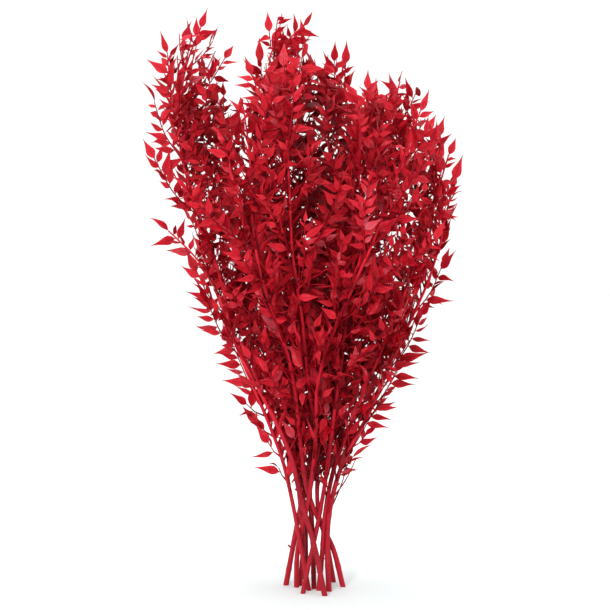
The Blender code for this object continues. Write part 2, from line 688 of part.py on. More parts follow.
def rod_mesh(line, radii, sides, facing=(0.0, 1.0, 0.0), level_foot=False):
    """A closed rod along a line, an edge of it towards the way it faces, with flat ends."""
    bm = bmesh.new()
    rings = []
    for k, (point, radius) in enumerate(zip(line, radii)):
        direction = unit(line[min(k + 1, len(line) - 1)] - line[max(k - 1, 0)])
        if k == 0 and level_foot:
            direction = np.array([0.0, 0.0, 1.0])
        across = unit(np.cross(facing, direction))
        up = np.cross(direction, across)
        turns = np.arange(sides) * 2 * math.pi / sides
        corners = [point + radius * (math.cos(t) * up + math.sin(t) * across) for t in turns]
        rings.append([bm.verts.new(corner) for corner in corners])
    for low, high in itertools.pairwise(rings):
        for k in range(sides):
            bm.faces.new((low[k - 1], low[k], high[k], high[k - 1]))
    bm.faces.new(rings[0][::-1])
    bm.faces.new(rings[-1])
    return bm


def leaf_mesh(leaf):
    """A lance-shaped blade: widest below the middle, drawn out to a point, ridged on both faces."""
    across = np.cross(leaf.face, leaf.along)
    bm = bmesh.new()

    def corner(forward, sideways, up):
        place = leaf.root + leaf.along * forward * leaf.length + across * sideways * leaf.width
        return bm.verts.new(place + leaf.face * up * leaf.width)

    rim = [corner(*point) for point in LEAF_OUTLINE]
    ridge = LEAF_HALF_THICKNESS / leaf.width
    upper = corner(LEAF_RIDGE, 0, ridge)
    lower = corner(LEAF_RIDGE, 0, -ridge)
    for k in range(len(rim)):
        bm.faces.new((rim[k], rim[(k + 1) % len(rim)], upper))
        bm.faces.new((rim[(k + 1) % len(rim)], rim[k], lower))
    return bm


def stub_mesh(stem, place, compass, length):
    """The short end that is left where a twig was cut off."""
    axis = unit(stem[place + 1] - stem[place - 1])
    out = np.array([math.cos(compass), math.sin(compass), 0.0])
    end = stem[place] + unit(out + STUB_RISE * axis) * length
    return rod_mesh(np.array([stem[place], end]), [STUB_RADIUS, STUB_RADIUS * STUB_TAPER], STUB_SIDES)


def build_stem(name, stem, twigs, leaves, red):
    """One stem with its twigs and leaves, fused into one solid."""
    scene = bpy.context.scene.collection
    places = ring_places(name)
    line = stem[places]
    rod = rod_mesh(line, stem_radius(name, line[:, 2]), STEM_SIDES, level_foot=True)
    axis = new_object(name, rod, scene, red)
    grown = bpy.data.collections.new(name + "_grown")
    scene.children.link(grown)
    for twig in twigs:
        new_object("twig", rod_mesh(twig.line, twig.radii, TWIG_SIDES, twig.facing), grown, red)
    for leaf in leaves:
        new_object("leaf", leaf_mesh(leaf), grown, red)
    for stem_name, height, compass, length in STUBS:
        if stem_name == name:
            stub = stub_mesh(stem, round(height / LEVEL), math.radians(compass), length)
            new_object("stub", stub, grown, red)
    union = axis.modifiers.new("union", "BOOLEAN")
    union.operation = "UNION"
    union.operand_type = "COLLECTION"
    union.collection = grown
    union.solver = "EXACT"
    graph = bpy.context.evaluated_depsgraph_get()
    fused = bpy.data.meshes.new_from_object(axis.evaluated_get(graph))
    fused.name = name
    fused.shade_smooth()
    fused.set_sharp_from_angle(angle=SMOOTH_UNDER)
    axis.modifiers.clear()
    axis.data = fused
    for thing in list(grown.objects):
        bpy.data.objects.remove(thing)
    bpy.data.collections.remove(grown)


def main():
    for thing in list(bpy.data.objects):
        bpy.data.objects.remove(thing)
    lines = stem_lines()
    space = Space()
    owners = {}
    for name, stem in lines.items():
        owners[name] = next(space.named)
        space.add(stem, stem_radius(name, stem[:, 2]), owners[name])
    twigs = {name: grow_shoots(name, stem, owners[name], space) for name, stem in lines.items()}
    for name, stem in lines.items():
        twigs[name] += grow_twigs(name, stem, owners[name], space)
    leaves = {}
    for name, stem in lines.items():
        leader = leader_of(name, stem, owners[name])
        leaves[name] = grow_leaves(name, [leader, *twigs[name]], space)
    for name, stem in lines.items():
        leaves[name] += grow_stem_leaves(name, stem, owners[name], space)
    red = material()
    for name, stem in lines.items():
        build_stem(name, stem, twigs[name], leaves[name], red)


main()
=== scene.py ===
"""The looks of a bunch of twelve dried ruscus stems, dyed red, standing on a white floor.

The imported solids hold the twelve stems, about a quarter of the side twigs and about a twentieth
of the leaves. The same rules and the same seeds lay them out here again, each stem as one finer
piece that takes its solid's place: round stems and twigs with bark, and thin leaves that fold,
bend and curl. Then the same rules add the other twigs and leaves, inside the solids' box.

Lengths are in metres unless a comment says otherwise, and angles in degrees. +Z is up, and the
front is seen along +Y.
"""

import itertools
import random
from collections import namedtuple
from functools import partial
from math import cos, hypot, pi, radians, sin

import bpy
import numpy as np
from numpy.linalg import norm
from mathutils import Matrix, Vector


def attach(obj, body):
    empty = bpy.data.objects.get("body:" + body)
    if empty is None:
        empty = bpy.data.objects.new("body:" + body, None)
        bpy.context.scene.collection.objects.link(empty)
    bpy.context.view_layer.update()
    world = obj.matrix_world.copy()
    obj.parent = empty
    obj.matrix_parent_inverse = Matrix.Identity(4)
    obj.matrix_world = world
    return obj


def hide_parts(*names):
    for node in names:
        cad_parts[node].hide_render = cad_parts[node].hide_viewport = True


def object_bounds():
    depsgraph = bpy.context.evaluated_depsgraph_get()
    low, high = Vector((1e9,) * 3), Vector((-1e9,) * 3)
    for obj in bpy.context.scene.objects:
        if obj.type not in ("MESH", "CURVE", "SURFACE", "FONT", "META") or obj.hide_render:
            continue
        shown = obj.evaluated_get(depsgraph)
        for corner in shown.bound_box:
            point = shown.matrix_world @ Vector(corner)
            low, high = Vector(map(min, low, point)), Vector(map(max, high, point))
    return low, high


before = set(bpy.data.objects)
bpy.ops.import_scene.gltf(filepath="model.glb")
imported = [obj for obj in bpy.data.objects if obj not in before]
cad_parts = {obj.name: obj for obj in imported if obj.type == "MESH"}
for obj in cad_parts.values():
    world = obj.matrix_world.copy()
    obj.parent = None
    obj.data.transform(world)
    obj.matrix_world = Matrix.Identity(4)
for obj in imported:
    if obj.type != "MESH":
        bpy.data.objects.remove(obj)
CAD_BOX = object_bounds()

NODE = "leafy_stem_"  # how the name of each stem's solid begins
MILLIMETRES = 1000  # in a metre


def in_metres(*rows):
    """The columns of a table that is written in millimetres."""
    return np.array(rows).T / MILLIMETRES


# Camera: as far away as in the photograph, and turned down a little
CAMERA_PLACE = (0.0077, -2.2, 0.47)
CAMERA_PITCH = 3.34
CAMERA_YAW = 0.48
FRAME_PIXELS = 610
FOCAL_PIXELS = 1850
SENSOR = 36.0  # millimetres

# The solids' own rules from here to the crown's outline.
# For each stem the height of its lowest twig, then its route from the middle of the cut end to the
# tip, as (x, y, z), all in millimetres. The others lean on the first stem, or on one that does.
STEMS = {
    "middle": (
        150, (0, 0, 0), (-2, 5, 71), (-5, 10, 115), (-3, 15, 160), (3, 28, 234), (13, 42, 307),
        (18, 55, 404), (20, 60, 490), (16, 52, 560), (16, 42, 616),
    ),
    "left_tall": (
        185, (13, -39, 0), (-1, -32, 62), (-12, -29, 96), (-30, -28, 173), (-68, -30, 251),
        (-94, -28, 303), (-108, -25, 369), (-130, -20, 436), (-150, -15, 490), (-161, -8, 550),
        (-156, 0, 605), (-145, 2, 645), (-134, 2, 670),
    ),
    "left_low": (
        150, (-6, -9, 0), (-16, -8, 53), (-26, -8, 107), (-39, -12, 163), (-64, -16, 227),
        (-90, -18, 288), (-104, -15, 328), (-122, -10, 374), (-144, -6, 403), (-174, -4, 431),
    ),
    "front_left": (
        185, (35, 12, 0), (19, 6, 58), (5, 3, 83), (-7, -1, 116), (-17, -16, 193), (-28, -44, 278),
        (-55, -74, 360), (-70, -80, 430), (-74, -62, 520), (-82, -44, 574),
    ),
    "front": (
        165, (24, 39, 0), (15, 30, 53), (5, 22, 91), (4, 10, 135), (4, -4, 180), (-5, -28, 238),
        (-12, -66, 320), (-25, -92, 413), (-28, -88, 490), (-34, -62, 575), (-36, -52, 604),
        (-35, -46, 622),
    ),
    "front_right": (
        165, (-13, -27, 0), (-7, -23, 29), (2, -19, 66), (12, -18, 122), (24, -30, 215),
        (33, -45, 282), (42, -60, 361), (50, -65, 431), (58, -55, 524), (62, -36, 596),
    ),
    "right_front": (
        180, (-21, 9, 0), (-20, 6, 45), (-13, 0, 79), (-6, -8, 112), (2, -22, 180), (6, -54, 264),
        (23, -76, 316), (66, -92, 415), (88, -74, 470), (108, -36, 530), (124, -30, 568),
    ),
    "right_tall": (
        150, (6, -9, 0), (10, -6, 44), (14, -3, 95), (25, -3, 150), (45, -10, 203), (89, -30, 314),
        (109, -30, 365), (128, -23, 425), (148, -16, 485), (159, -10, 520),
    ),
    "right_low": (
        130, (18, -14, 0), (16, -13, 61), (19, -11, 96), (40, -5, 166), (62, 0, 204), (99, 5, 290),
        (126, 8, 345), (148, 10, 400), (155, 4, 442), (164, 2, 478),
    ),
    "back_left": (
        150, (-17, 19, 0), (-13, 15, 57), (-16, 11, 95), (-21, 13, 145), (-24, 20, 196),
        (-30, 31, 250), (-54, 45, 344), (-88, 56, 429), (-112, 55, 502), (-122, 46, 550),
        (-120, 36, 582),
    ),
    "back": (
        145, (-10, 36, 0), (-11, 30, 78), (-18, 37, 150), (-29, 45, 222), (-38, 58, 306),
        (-47, 76, 450), (-54, 64, 563), (-47, 46, 625), (-33, 36, 658), (-12, 34, 676),
    ),
    "back_right": (
        145, (-34, 21, 0), (-25, 19, 50), (-17, 22, 92), (-9, 26, 130), (3, 34, 195),
        (15, 43, 255), (34, 57, 343), (56, 68, 441), (80, 66, 520), (104, 56, 610),
    ),
}
FIRST_TWIG = {NODE + name: values[0] / MILLIMETRES for name, values in STEMS.items()}
ROUTES = {NODE + name: in_metres(*values[1:]).T for name, values in STEMS.items()}
# Shoots that reach to the crown's edge, stem by stem: the height of the root and the tip's place,
# in millimetres
SHOOTS = (
    ("left_tall", (555, -173, -6, 640), (575, -106, 6, 634), (515, -188, -14, 582),
        (445, -187, -26, 515)),
    ("left_low", (330, -138, -20, 382), (280, -125, -26, 346), (215, -96, -10, 294)),
    ("back_left", (500, -146, 58, 572)),
    ("back", (575, -64, 40, 632), (550, -12, 62, 620)),
    ("front", (545, -72, -40, 612)),
    ("middle", (545, 38, 38, 630), (555, 24, 26, 632), (530, 40, 50, 600)),
    ("front_right", (530, 78, -40, 572)),
    ("back_right", (540, 122, 40, 594), (525, 74, 50, 586), (345, 92, 50, 428)),
    ("right_front", (495, 132, -40, 548)),
    ("right_tall", (450, 146, 6, 540), (430, 164, -24, 490)),
    ("right_low", (385, 160, 10, 442), (330, 154, 14, 390), (262, 128, -4, 330), (190, 98, 2, 262)),
    ("back", (635, -54, 36, 668)),
    ("left_low", (210, -80, -18, 225), (185, -66, -14, 202), (160, -54, -14, 178),
        (130, -42, -10, 148)),
    ("right_low", (170, 62, -2, 186), (145, 46, -6, 160)),
)
SHOOT_BOW = 0.13  # how far a shoot bends out from the straight way to its tip, of its length
SHOOT_SHIFT = 0.004  # forward or back, with each new try
FOOT_RADIUS = 0.0033
TIP_RADIUS = 0.0009
GIRTHS = (0.86, 1.02)  # the thinnest and the thickest stem's foot, of that radius
TAPER = 0.9  # below 1, a stem keeps its thickness for longer
LEVEL = 0.005  # height between the points of a stem's centre line
AXIS_REACH = 2  # points up and down that its direction is taken over
LEVELS_A_RING = ((0.16, 3), (0.34, 8), (1.0, 10))  # below each height, levels from ring to ring
LEVELS_A_LEADER_RING = 4  # and in the top of a stem
STEM_GAP = 0.00015  # air that stems keep where they pass each other
LEAN_GAP = 0.00025  # stems closer than this lean on each other
WAIST = (0.035, 0.165)  # the heights between which they lean on each other
CROSSING = 0.8  # of their two radii, how near two stems' middles are where one passes the other
LEAN_REACH = 0.040  # height over which a stem is bent to lean on its neighbour
LONGEST_PULL = 0.0005
SMOOTHING = 3  # times that a bend is eased out into the levels round it
BENDING_ROUNDS = 400

# What is left of twigs on the bare part: stem, height, compass angle, length
STUBS = (
    ("back_right", 0.046, 205, 0.0080), ("right_tall", 0.036, 300, 0.0062),
    ("left_tall", 0.118, 190, 0.0060), ("right_low", 0.127, 20, 0.0070),
    ("back", 0.104, 80, 0.0070),
)
STUB_RADII = (0.00169, 0.00104)
STUB_RISE = 0.7
STUB_POINTS = 6

# Side twigs
TWIG_STEP = 0.0345  # from one twig to the next along its stem
TWIG_STRAY = 0.25  # of that step
TWIG_LONGEST = 0.118
TWIG_SHORTEST = 0.026
TWIG_SIZES = ((0, 0.3, 0.6, 0.85, 1), (0.50, 0.86, 1.0, 0.88, 0.62))  # share of the way up, size
TWIG_SIZE_SPREAD = (0.86, 1.1)
TWIG_RADIUS = 0.00115
TWIG_TIP_RADIUS = 0.0007
TWIG_STRETCH = 0.042  # about the length of the straight stretches in a twig's centre line
TURN = 137.5  # degrees round the stem from one twig to the next
TURN_SPREAD = 14
ANGLE_AT_ROOT = 48  # between a twig and its stem
ANGLE_AT_TIP = 28
LEADER = 0.052  # the top of a stem, which carries leaves of its own as a twig does
FAN_UP = 0.8  # how much a twig's fan of leaves faces up, against 1 outward
FAN_TURN = 55
EDGE_FAN_WISH = (0.0, -1.0, 0.3)  # a shoot's fan, and that of a stem's top, faces the front
EDGE_FAN_TURN = 35
TWIG_GAP = 0.0011
TWIG_HELD = 0.006  # the stretch at its root that is left out of the test for room
TWIG_TRIES = 16
TWIG_SHORTENING = 0.05  # of its length, with each new try
LEAVES_BEYOND = 0.010  # how far the leaf tips of such a twig reach over the crown's outline
SHOOT_LEAVES_BEYOND = 0.080  # and those of a shoot or of a stem's top

# Leaves
LEAF_LENGTH = (0.020, 0.031)
EDGE_LEAF_LENGTH = (0.024, 0.036)  # of those on shoots and on the tops of stems
LEAF_WIDTH = 0.34  # of its length
LEAF_ANGLE = 50  # from the twig, forward
LEAF_ANGLE_SPREAD = 15
LEAF_ROLL = 40
LEAF_LIFT = 24
LEAF_RETRY_ROLL = 17  # more of each with every new try
LEAF_RETRY_LIFT = 8
LEAF_STEP = 0.0094
FIRST_LEAF = 0.013
LEAF_SUNK = 0.0014  # how far the leaf that ends a twig reaches into it
LEAF_PITCH = 5  # of the places along a twig, every fifth one carries a leaf here
STEM_LEAF_LENGTH = (0.028, 0.038)  # the leaves that sit on a stem itself are the largest
STEM_LEAF_STEP = 0.060
STEM_LEAF_ANGLE = 42
STEM_LEAF_ANGLE_SPREAD = 8
STEM_LEAF_TURN_SPREAD = 20
STEM_LEAF_RETRY_TURN = 37
STEM_LEAF_ROLL = 50
LEAF_ROD = (0.2, 0.75, 1.0)  # places along a leaf, for the rod that stands for it in tests for room
LEAF_ROD_WIDTHS = (0.5, 0.5, 0.15)
LEAF_TIP_WIDTH = 0.33  # of its width, how thick the rod is counted from there to the tip
LEAF_GAP = 0.0006
LEAF_TRIES = 9

# The outline of the crown's thick part from the front, as (z, x), its half depth as (z, y), and
# the V between the left spray and the middle one, all in millimetres
OUTLINE_LEFT = in_metres(
    (130, -28), (180, -40), (230, -57), (270, -78), (300, -100), (350, -122), (390, -137),
    (440, -149), (470, -162), (520, -170), (560, -181), (600, -190), (630, -182), (650, -164),
    (700, -140),
)
OUTLINE_RIGHT = in_metres(
    (130, 40), (180, 60), (230, 86), (270, 104), (300, 116), (350, 132), (400, 147), (460, 154),
    (520, 155), (550, 147), (570, 128), (590, 98), (600, 70), (610, 44), (630, 16), (650, 0),
    (700, -10),
)
VALLEY_LEFT = in_metres((570, -89), (600, -111), (650, -116), (700, -130))
VALLEY_RIGHT = in_metres((570, -89), (600, -74), (630, -66), (650, -58), (700, -40))
HALF_DEPTH = in_metres(
    (140, 50), (200, 75), (280, 110), (380, 145), (500, 150), (600, 120), (700, 70),
)
SQUARENESS = 3  # of the crown's cross-section: 2 is an ellipse

TINY = 1e-9  # keeps a division away from zero
ROD_AXES = (0, 0, 1, 1, 0, 0)  # along which the tables of rods grow: ends, bounds, radii, owners

# What is drawn finer or added here
STEM_EASING = 4  # times that the stem's line is eased at its rings
STEM_ROUND = 16
TWIG_ROUND = 6
TWIG_RING = 0.009
TWIG_THINNER = 0.86  # a real twig, of the solid one's radius
TWIG_COLLAR = 0.45  # how much thicker it is where it leaves the stem, and over what length
TWIG_COLLAR_LENGTH = 0.0025
NODE_STEP = (0.024, 0.040)  # from one ring on a stem to the next
NODE_SWELL = 0.10
NODE_LENGTH = 0.0022
STEM_UNEVEN = 0.035
STEM_WAVES = (61, 23)  # to a metre, in radians
STEM_WAVE_START = 6

# Twigs that the solids leave out: their lot, how far below the solids' lowest twig they start, and
# how wide they leave the stem, against the solids' ones
MORE_TWIGS = (
    ("second", 0.0135, 1.0), ("third", 0.0300, 0.6), ("fourth", 0.0060, 0.85), ("fifth", 0.0450, 0.4),
    ("sixth", 0.0200, 0.5), ("seventh", -0.2000, 0.7),
)
MORE_STEM_LEAVES = 3  # between one of the solids' leaves on a stem and the next
LEAVES_A_PITCH = 10  # here, where the solids have one
MORE_STEP = LEAF_STEP * LEAF_PITCH / LEAVES_A_PITCH
MORE_LEAF_TRIES = 7
MORE_LIFT = 20  # how much more freely those leaves turn
MORE_SWING = 28
MORE_SHIFT = 0.4  # of the way to the next leaf
EDGE_SIZES = (0.62, 1.10)  # of a leaf on a shoot or a stem's top, against the solids' ones
MORE_SIZES = (0.66, 1.08)  # and of the others
EDGE_WIDTHS = (0.28, 0.36)
MORE_WIDTHS = (0.29, 0.39)
LOWEST_LEAF = 0.140
LOW_SIZES = ((0.15, 0.30, 0.42), (1.25, 1.18, 1.0))  # the lower leaves are larger, by their height
MORE_REACH = (-0.026, 0.004)  # over the crown's outline, another for each added twig
# Stretches of stems that stay in sight from the front, and how far to each side of them
SEEN_STEMS = (
    ("front", 0.15, 0.50), ("front_left", 0.15, 0.44), ("right_front", 0.15, 0.44),
    ("front_right", 0.15, 0.34), ("left_tall", 0.12, 0.31), ("left_low", 0.12, 0.27),
    ("right_tall", 0.12, 0.31), ("right_low", 0.12, 0.26),
)
SEEN_MARGIN = 0.0035
SEEN_PLACES = (0.2, 0.4, 0.6, 0.8, 1.0)  # along a leaf, where it is tested for hiding them
NEARBY = 0.012  # further off than this, nothing is tested for room
SLIM_ROD = 0.0012  # half thickness that a leaf added here needs for itself
SLIM_GAP = 0.0002
SLIM_WIDTHS = (0.12, 0.12, 0.10)  # of its width, what it takes from the others

# A leaf's outline as (share of its length, share of its width), from its short stalk to its tip
BLADE = (
    (0.00, 0.10), (0.07, 0.13), (0.16, 0.64), (0.28, 0.99), (0.41, 0.93), (0.55, 0.63),
    (0.69, 0.34), (0.84, 0.12), (1.00, 0.00),
)
BLADE_COLUMNS = (-1.0, -0.55, 0.0, 0.55, 1.0)
INNER_BLADE = (  # and of the leaves deep inside the crown
    (0.00, 0.10), (0.08, 0.14), (0.20, 0.80), (0.36, 1.00), (0.56, 0.62), (0.78, 0.22), (1.00, 0.00),
)
INNER_COLUMNS = (-1.0, 0.0, 1.0)
INNER = 0.62  # share of the way out, up to which a leaf counts as inside
BLADE_THICKNESS = 0.00034
BEND = (-14, 36)  # degrees that a leaf bends back over its length
TIP_CURL = (-20, 55)
TWIST = 24
FOLD = (0.04, 0.38)  # rise of its edges over its midrib, of its half width
RIPPLE = 0.10
RIPPLES = 7.0
RIPPLE_OFFSET = 2  # between its two edges
BEND_GROWTH = 1.4
CURL_FROM = 0.7  # share of its length, and over what share it curls up
CURL_OVER = 0.3
BLADE_SWELL = 3  # how soon it is at its full thickness
BLADE_THINNEST = 0.4

# Colours, linear
LEAF_DARK = (0.070, 0.0003, 0.002, 1)
LEAF_MIDDLE = (0.370, 0.0018, 0.009, 1)
LEAF_LIGHT = (0.530, 0.010, 0.024, 1)
# A pale dusty pink: partly dust, partly a painted sheen on the lightest leaves
LEAF_DUST_AND_SHEEN = (0.520, 0.075, 0.100, 1)
LEAF_TIP = (0.040, 0.001, 0.003, 1)
BARK_DARK = (0.080, 0.001, 0.004, 1)
BARK_LIGHT = (0.350, 0.007, 0.018, 1)
BARK_PAINTED_LIGHT = (0.600, 0.010, 0.026, 1)  # painted light: the bark among the leaves is made lighter, as if lit there
# The heights over which the bark's painted light comes in, and the most of it, times the weight of
# the scuffs
PAINTED_LIGHT_ABOVE = (0.13, 0.26)
MOST_PAINTED_LIGHT = 1.5
TWIG_DARK = (0.070, 0.0006, 0.002, 1)
TWIG_LIGHT = (0.300, 0.003, 0.010, 1)
SCUFF = (0.520, 0.130, 0.140, 1)
PITH = (0.400, 0.070, 0.070, 1)
FLOOR_NEAR = (0.78, 0.83, 0.83, 1)  # under the lights: painted darker and a little cyan near the bunch, to offset the lights and the red light the bunch throws onto the floor
FLOOR_FAR = (0.92, 0.92, 0.92, 1)
FLOOR_LIT = 4.0  # how far from the bunch the lights still matter on the floor

# Materials: the scales of their noises to a metre, and the ranges from one value to another
# The leaves' tone carries painted shade and light, so the top stop, dust and painted sheen, falls on
# the outer leaves
LEAF_STOPS = ((0.20, LEAF_DARK), (0.48, LEAF_MIDDLE), (0.70, LEAF_LIGHT), (0.86, LEAF_DUST_AND_SHEEN))
LEAF_SHADE = (0.66, 0.42)  # what tone and blotches add to it
LEAF_RELIEF = (-0.5, 0.5)  # and veins and specks to its height
LEAF_BUMP = (0.45, 0.00025)  # strength and distance
BLOTCH_SCALE = 160.0
SPECK_SCALE = 1100.0
VEIN_WAVES = 4.5 * pi  # from the midrib to the edge
VEIN_WANDER = 0.10
VEIN_SPAN = (0.35, 1.0)
VEIN_SHARE = 0.55
MIDRIB_SPAN = (0.20, 0.04)
TIP_EDGE = (1.0, 0.10)
TIP_SPAN = (0.84, 1.02)
STALK_SPAN = (0.14, 0.03, 0.0, 0.45)
LEAF_ROUGHNESS = (0.3, 0.7, 0.50, 0.68)
BARK_ROUND = 0.003  # a stem's radius as the bark's noise sees it, and how far that is drawn out
BARK_ALONG = 0.07
BARK_SHADE = (0.80, 0.40, 0.45)  # what fibres, patches and tone add to it
BARK_STOPS = (0.58, 1.04)
BARK_BUMP = (0.6, 0.0003)
RUBBED_SPAN = (0.63, 0.72)
SCUFFED_SPAN = (0.50, 0.60)
FIBRE_SCALE = 1500.0
PATCH_SCALE = 60.0
SCUFF_SCALE = 420.0
BARK_ROUGHNESS = (0.3, 0.7, 0.66, 0.50)
GRAIN_SCALE = 2200.0
CUT_STOPS = ((0.30, BARK_DARK), (0.70, PITH))
CUT_BUMP = (0.5, 0.0003)

LEAF_SLOT, BARK_SLOT, TWIG_SLOT, CUT_SLOT = 0, 1, 2, 3
SHARP_OVER = radians(62)
BOX_MARGIN = 0.003
TWIG_SHARE = 0.4  # how much of a leaf's tone it has from its twig
PAINTED_LIGHT_STEMS = (NODE + "front", NODE + "front_left", NODE + "right_front")  # painted light: these stems and the leaves that sit on them take the lightest tone, as if lit in front
# Painted shade and light: a leaf's tone is darker deep in the crown and lighter near its outline, as
# light falls there, and it varies more inside than at the edge. From the crown's middle line
# outwards, as a share of the way: the middle tone and how far it varies
PAINTED_SHADE_TONES = ((0.2, 0.7, 1.0), (0.18, 0.48, 0.60))
TONE_SPREAD = ((0.2, 0.7, 1.0), (1.20, 1.00, 0.50))
PAINTED_LIGHT_TOP = ((0.54, 0.65), (0.2, 1.0))  # the heights between which leaves come to be in the open and take the outline's painted light

FLOOR_SIZE = 14.0
WORLD_STRENGTH = 1.1
LIT_POINT = Vector((0.0, 0.0, 0.38))
LIGHTS = (  # name, place, diameter, power
    ("key", (-0.8, -2.6, 1.3), 0.6, 50.0),
    ("fill", (2.0, -1.4, 1.0), 1.4, 8.0),
    ("top", (-0.1, 0.1, 2.4), 0.8, 28.0),
)

Twig = namedtuple("Twig", "line radii facing reach owner")
Leaf = namedtuple("Leaf", "root along face length width")
LeafRule = namedtuple("LeafRule", "tries fits widths")
Blade = namedtuple("Blade", "share width columns faces")


def seeded(*key):
    """Random draws that depend on the key alone."""
    return random.Random("-".join(str(part) for part in key))


def spread(draws, most):
    return draws.uniform(-most, most)


def unit(vector):
    return vector / norm(vector)


def level_count(name):
    return round(ROUTES[name][-1][2] / LEVEL) + 1


def stem_radius(name, z):
    """A stem is thickest at its cut end, and each differs a little from the next."""
    share = np.clip(z / ROUTES[name][-1][2], 0, 1)
    foot = FOOT_RADIUS * seeded(name, "girth").uniform(*GIRTHS)
    return TIP_RADIUS + (foot - TIP_RADIUS) * (1 - share) ** TAPER


def on_smooth_curve(knots, values, wanted):
    """Values at the wanted places on a smooth curve through the values at the knots."""
    slope = np.gradient(values, knots, axis=0)
    after = np.clip(np.searchsorted(knots, wanted, side="right"), 1, len(knots) - 1)
    before = after - 1
    gap = (knots[after] - knots[before])[:, None]
    t = (wanted - knots[before])[:, None] / gap
    return (
        (1 + 2 * t) * (1 - t) ** 2 * values[before]
        + t * (1 - t) ** 2 * gap * slope[before]
        + t**2 * (3 - 2 * t) * values[after]
        - t**2 * (1 - t) * gap * slope[after]
    )


def steps_of(line):
    return norm(np.diff(line, axis=0), axis=1)


def reached_along(line):
    """How far along a line each of its points is."""
    return np.concatenate([[0], np.cumsum(steps_of(line))])


def eased(line, times):
    """A line with each of its points but the ends moved towards its neighbours, that many times."""
    line = line.copy()
    for _ in range(times):
        line[1:-1] = (line[:-2] + 2 * line[1:-1] + line[2:]) / 4
    return line


def route_at(route, heights):
    """x and y at each height, and those of the tip above it."""
    return on_smooth_curve(route[:, 2], route[:, :2], np.minimum(heights, route[-1, 2]))


def ring_places(name):
    """The levels at which a stem has a ring, closer together where stems cross."""
    last = level_count(name) - 1
    places = [0]
    leader = last - round(LEADER / LEVEL)
    while places[-1] < last:
        height = places[-1] * LEVEL
        step = next(step for below, step in LEVELS_A_RING if height < below)
        if places[-1] + step > leader:
            step = LEVELS_A_LEADER_RING
        places.append(min(places[-1] + step, last))
    return places


def push_apart(plans, radii):
    """Air between every two stems at each level, and how far each gives way where it is short."""
    apart = plans[:, None] - plans[None, :]
    distance = norm(apart, axis=3)
    air = distance - radii[:, None] - radii[None, :]
    air[np.arange(len(plans)), np.arange(len(plans))] = np.inf
    short = 0.5 * np.maximum(STEM_GAP - air, 0) / np.maximum(distance, TINY)
    return air, (apart * short[..., None]).sum(axis=1)


def pull_loose(plans, radii, air):
    """How far each stem that touches none of the group round the first one is bent towards it.

    A stem is bent forward or back only, to where it passes in front of or behind another.
    """
    levels = np.arange(plans.shape[1])
    heights = levels * LEVEL
    waist = (heights > WAIST[0]) & (heights < WAIST[1])
    joined = {0}
    loose = set(range(1, len(plans)))
    while found := {a for a in loose if air[a, list(joined)][:, waist].min() < LEAN_GAP}:
        joined |= found
        loose -= found
    pull = np.zeros_like(plans)
    for a in loose:
        group = sorted(joined)
        apart = plans[group] - plans[a]
        reach = radii[group] + radii[a]
        crossing = (np.abs(apart[..., 0]) < CROSSING * reach) & waist
        touching = np.sqrt(np.where(crossing, reach**2 - apart[..., 0] ** 2, 0))
        missing = np.where(crossing, np.abs(apart[..., 1]) - touching - STEM_GAP, np.inf)
        b, level = np.unravel_index(missing.argmin(), missing.shape)
        if missing[b, level] < np.inf:
            near = np.exp(-(((heights - heights[level]) / LEAN_REACH) ** 2))
            way = np.sign(apart[b, level, 1])
            pull[a, :, 1] = way * min(missing[b, level], LONGEST_PULL) * near
    return pull


def stem_lines():
    """Every stem's centre line: clear of the others, leaning on them, straight from ring to ring."""
    names = list(ROUTES)
    levels = np.arange(max(level_count(name) for name in names))
    heights = levels * LEVEL
    plans = np.array([route_at(ROUTES[name], heights) for name in names])
    radii = np.array([stem_radius(name, heights) for name in names])
    for row, name in enumerate(names):
        radii[row, level_count(name):] = -np.inf  # no stem there
    rings = [np.array(ring_places(name)) for name in names]
    for _ in range(BENDING_ROUNDS):
        air, move = push_apart(plans, radii)
        move += pull_loose(plans, radii, air)
        if not move.any():
            break
        for _ in range(SMOOTHING):
            move[:, 1:-1] = (move[:, :-2] + 2 * move[:, 1:-1] + move[:, 2:]) / 4
        move[:, 0] = 0
        plans += move
        for plan, places in zip(plans, rings):
            for side in (0, 1):
                plan[:, side] = np.interp(levels, places, plan[places, side])
    return {
        name: np.column_stack([plan, heights])[: level_count(name)]
        for name, plan in zip(names, plans)
    }


class Space:
    """The rods that are in place already, so that a new one can be tested for room."""

    def __init__(self, stems):
        self.stems = stems
        self.named = itertools.count()
        ends, bounds = np.empty((0, 3)), np.empty((3, 0))
        self.rods = (ends, ends, bounds, bounds, np.empty(0), np.empty(0, int))

    def add(self, line, radii, owner=None):
        """Rods along a line: more of an owner's, or else those of a new one."""
        if owner is None:
            owner = next(self.named)
        low, high = np.minimum(line[:-1], line[1:]), np.maximum(line[:-1], line[1:])
        thick = np.maximum(radii[:-1], radii[1:])
        new = (line[:-1], line[1:], low.T, high.T, thick, np.full(len(thick), owner))
        self.rods = [np.concatenate(pair, axis=axis) for *pair, axis in zip(self.rods, new, ROD_AXES)]
        return owner

    def room(self, line, radius, ignored):
        """The least clearance round a rod of this radius along the line, from all but one's rods.

        Only the rods nearby are measured, as none is so thick that one further off could matter.
        """
        starts, ends, lows, highs, radii, owners = self.rods
        near = owners != ignored
        for k in range(3):
            near &= highs[k] > line[:, k].min() - NEARBY
            near &= lows[k] < line[:, k].max() + NEARBY
        starts, ends, radii = starts[near], ends[near], radii[near]
        if not len(radii):
            return NEARBY
        return min(
            (rod_distance(p, q, starts, ends) - radii).min() - radius
            for p, q in zip(line[:-1], line[1:])
        )


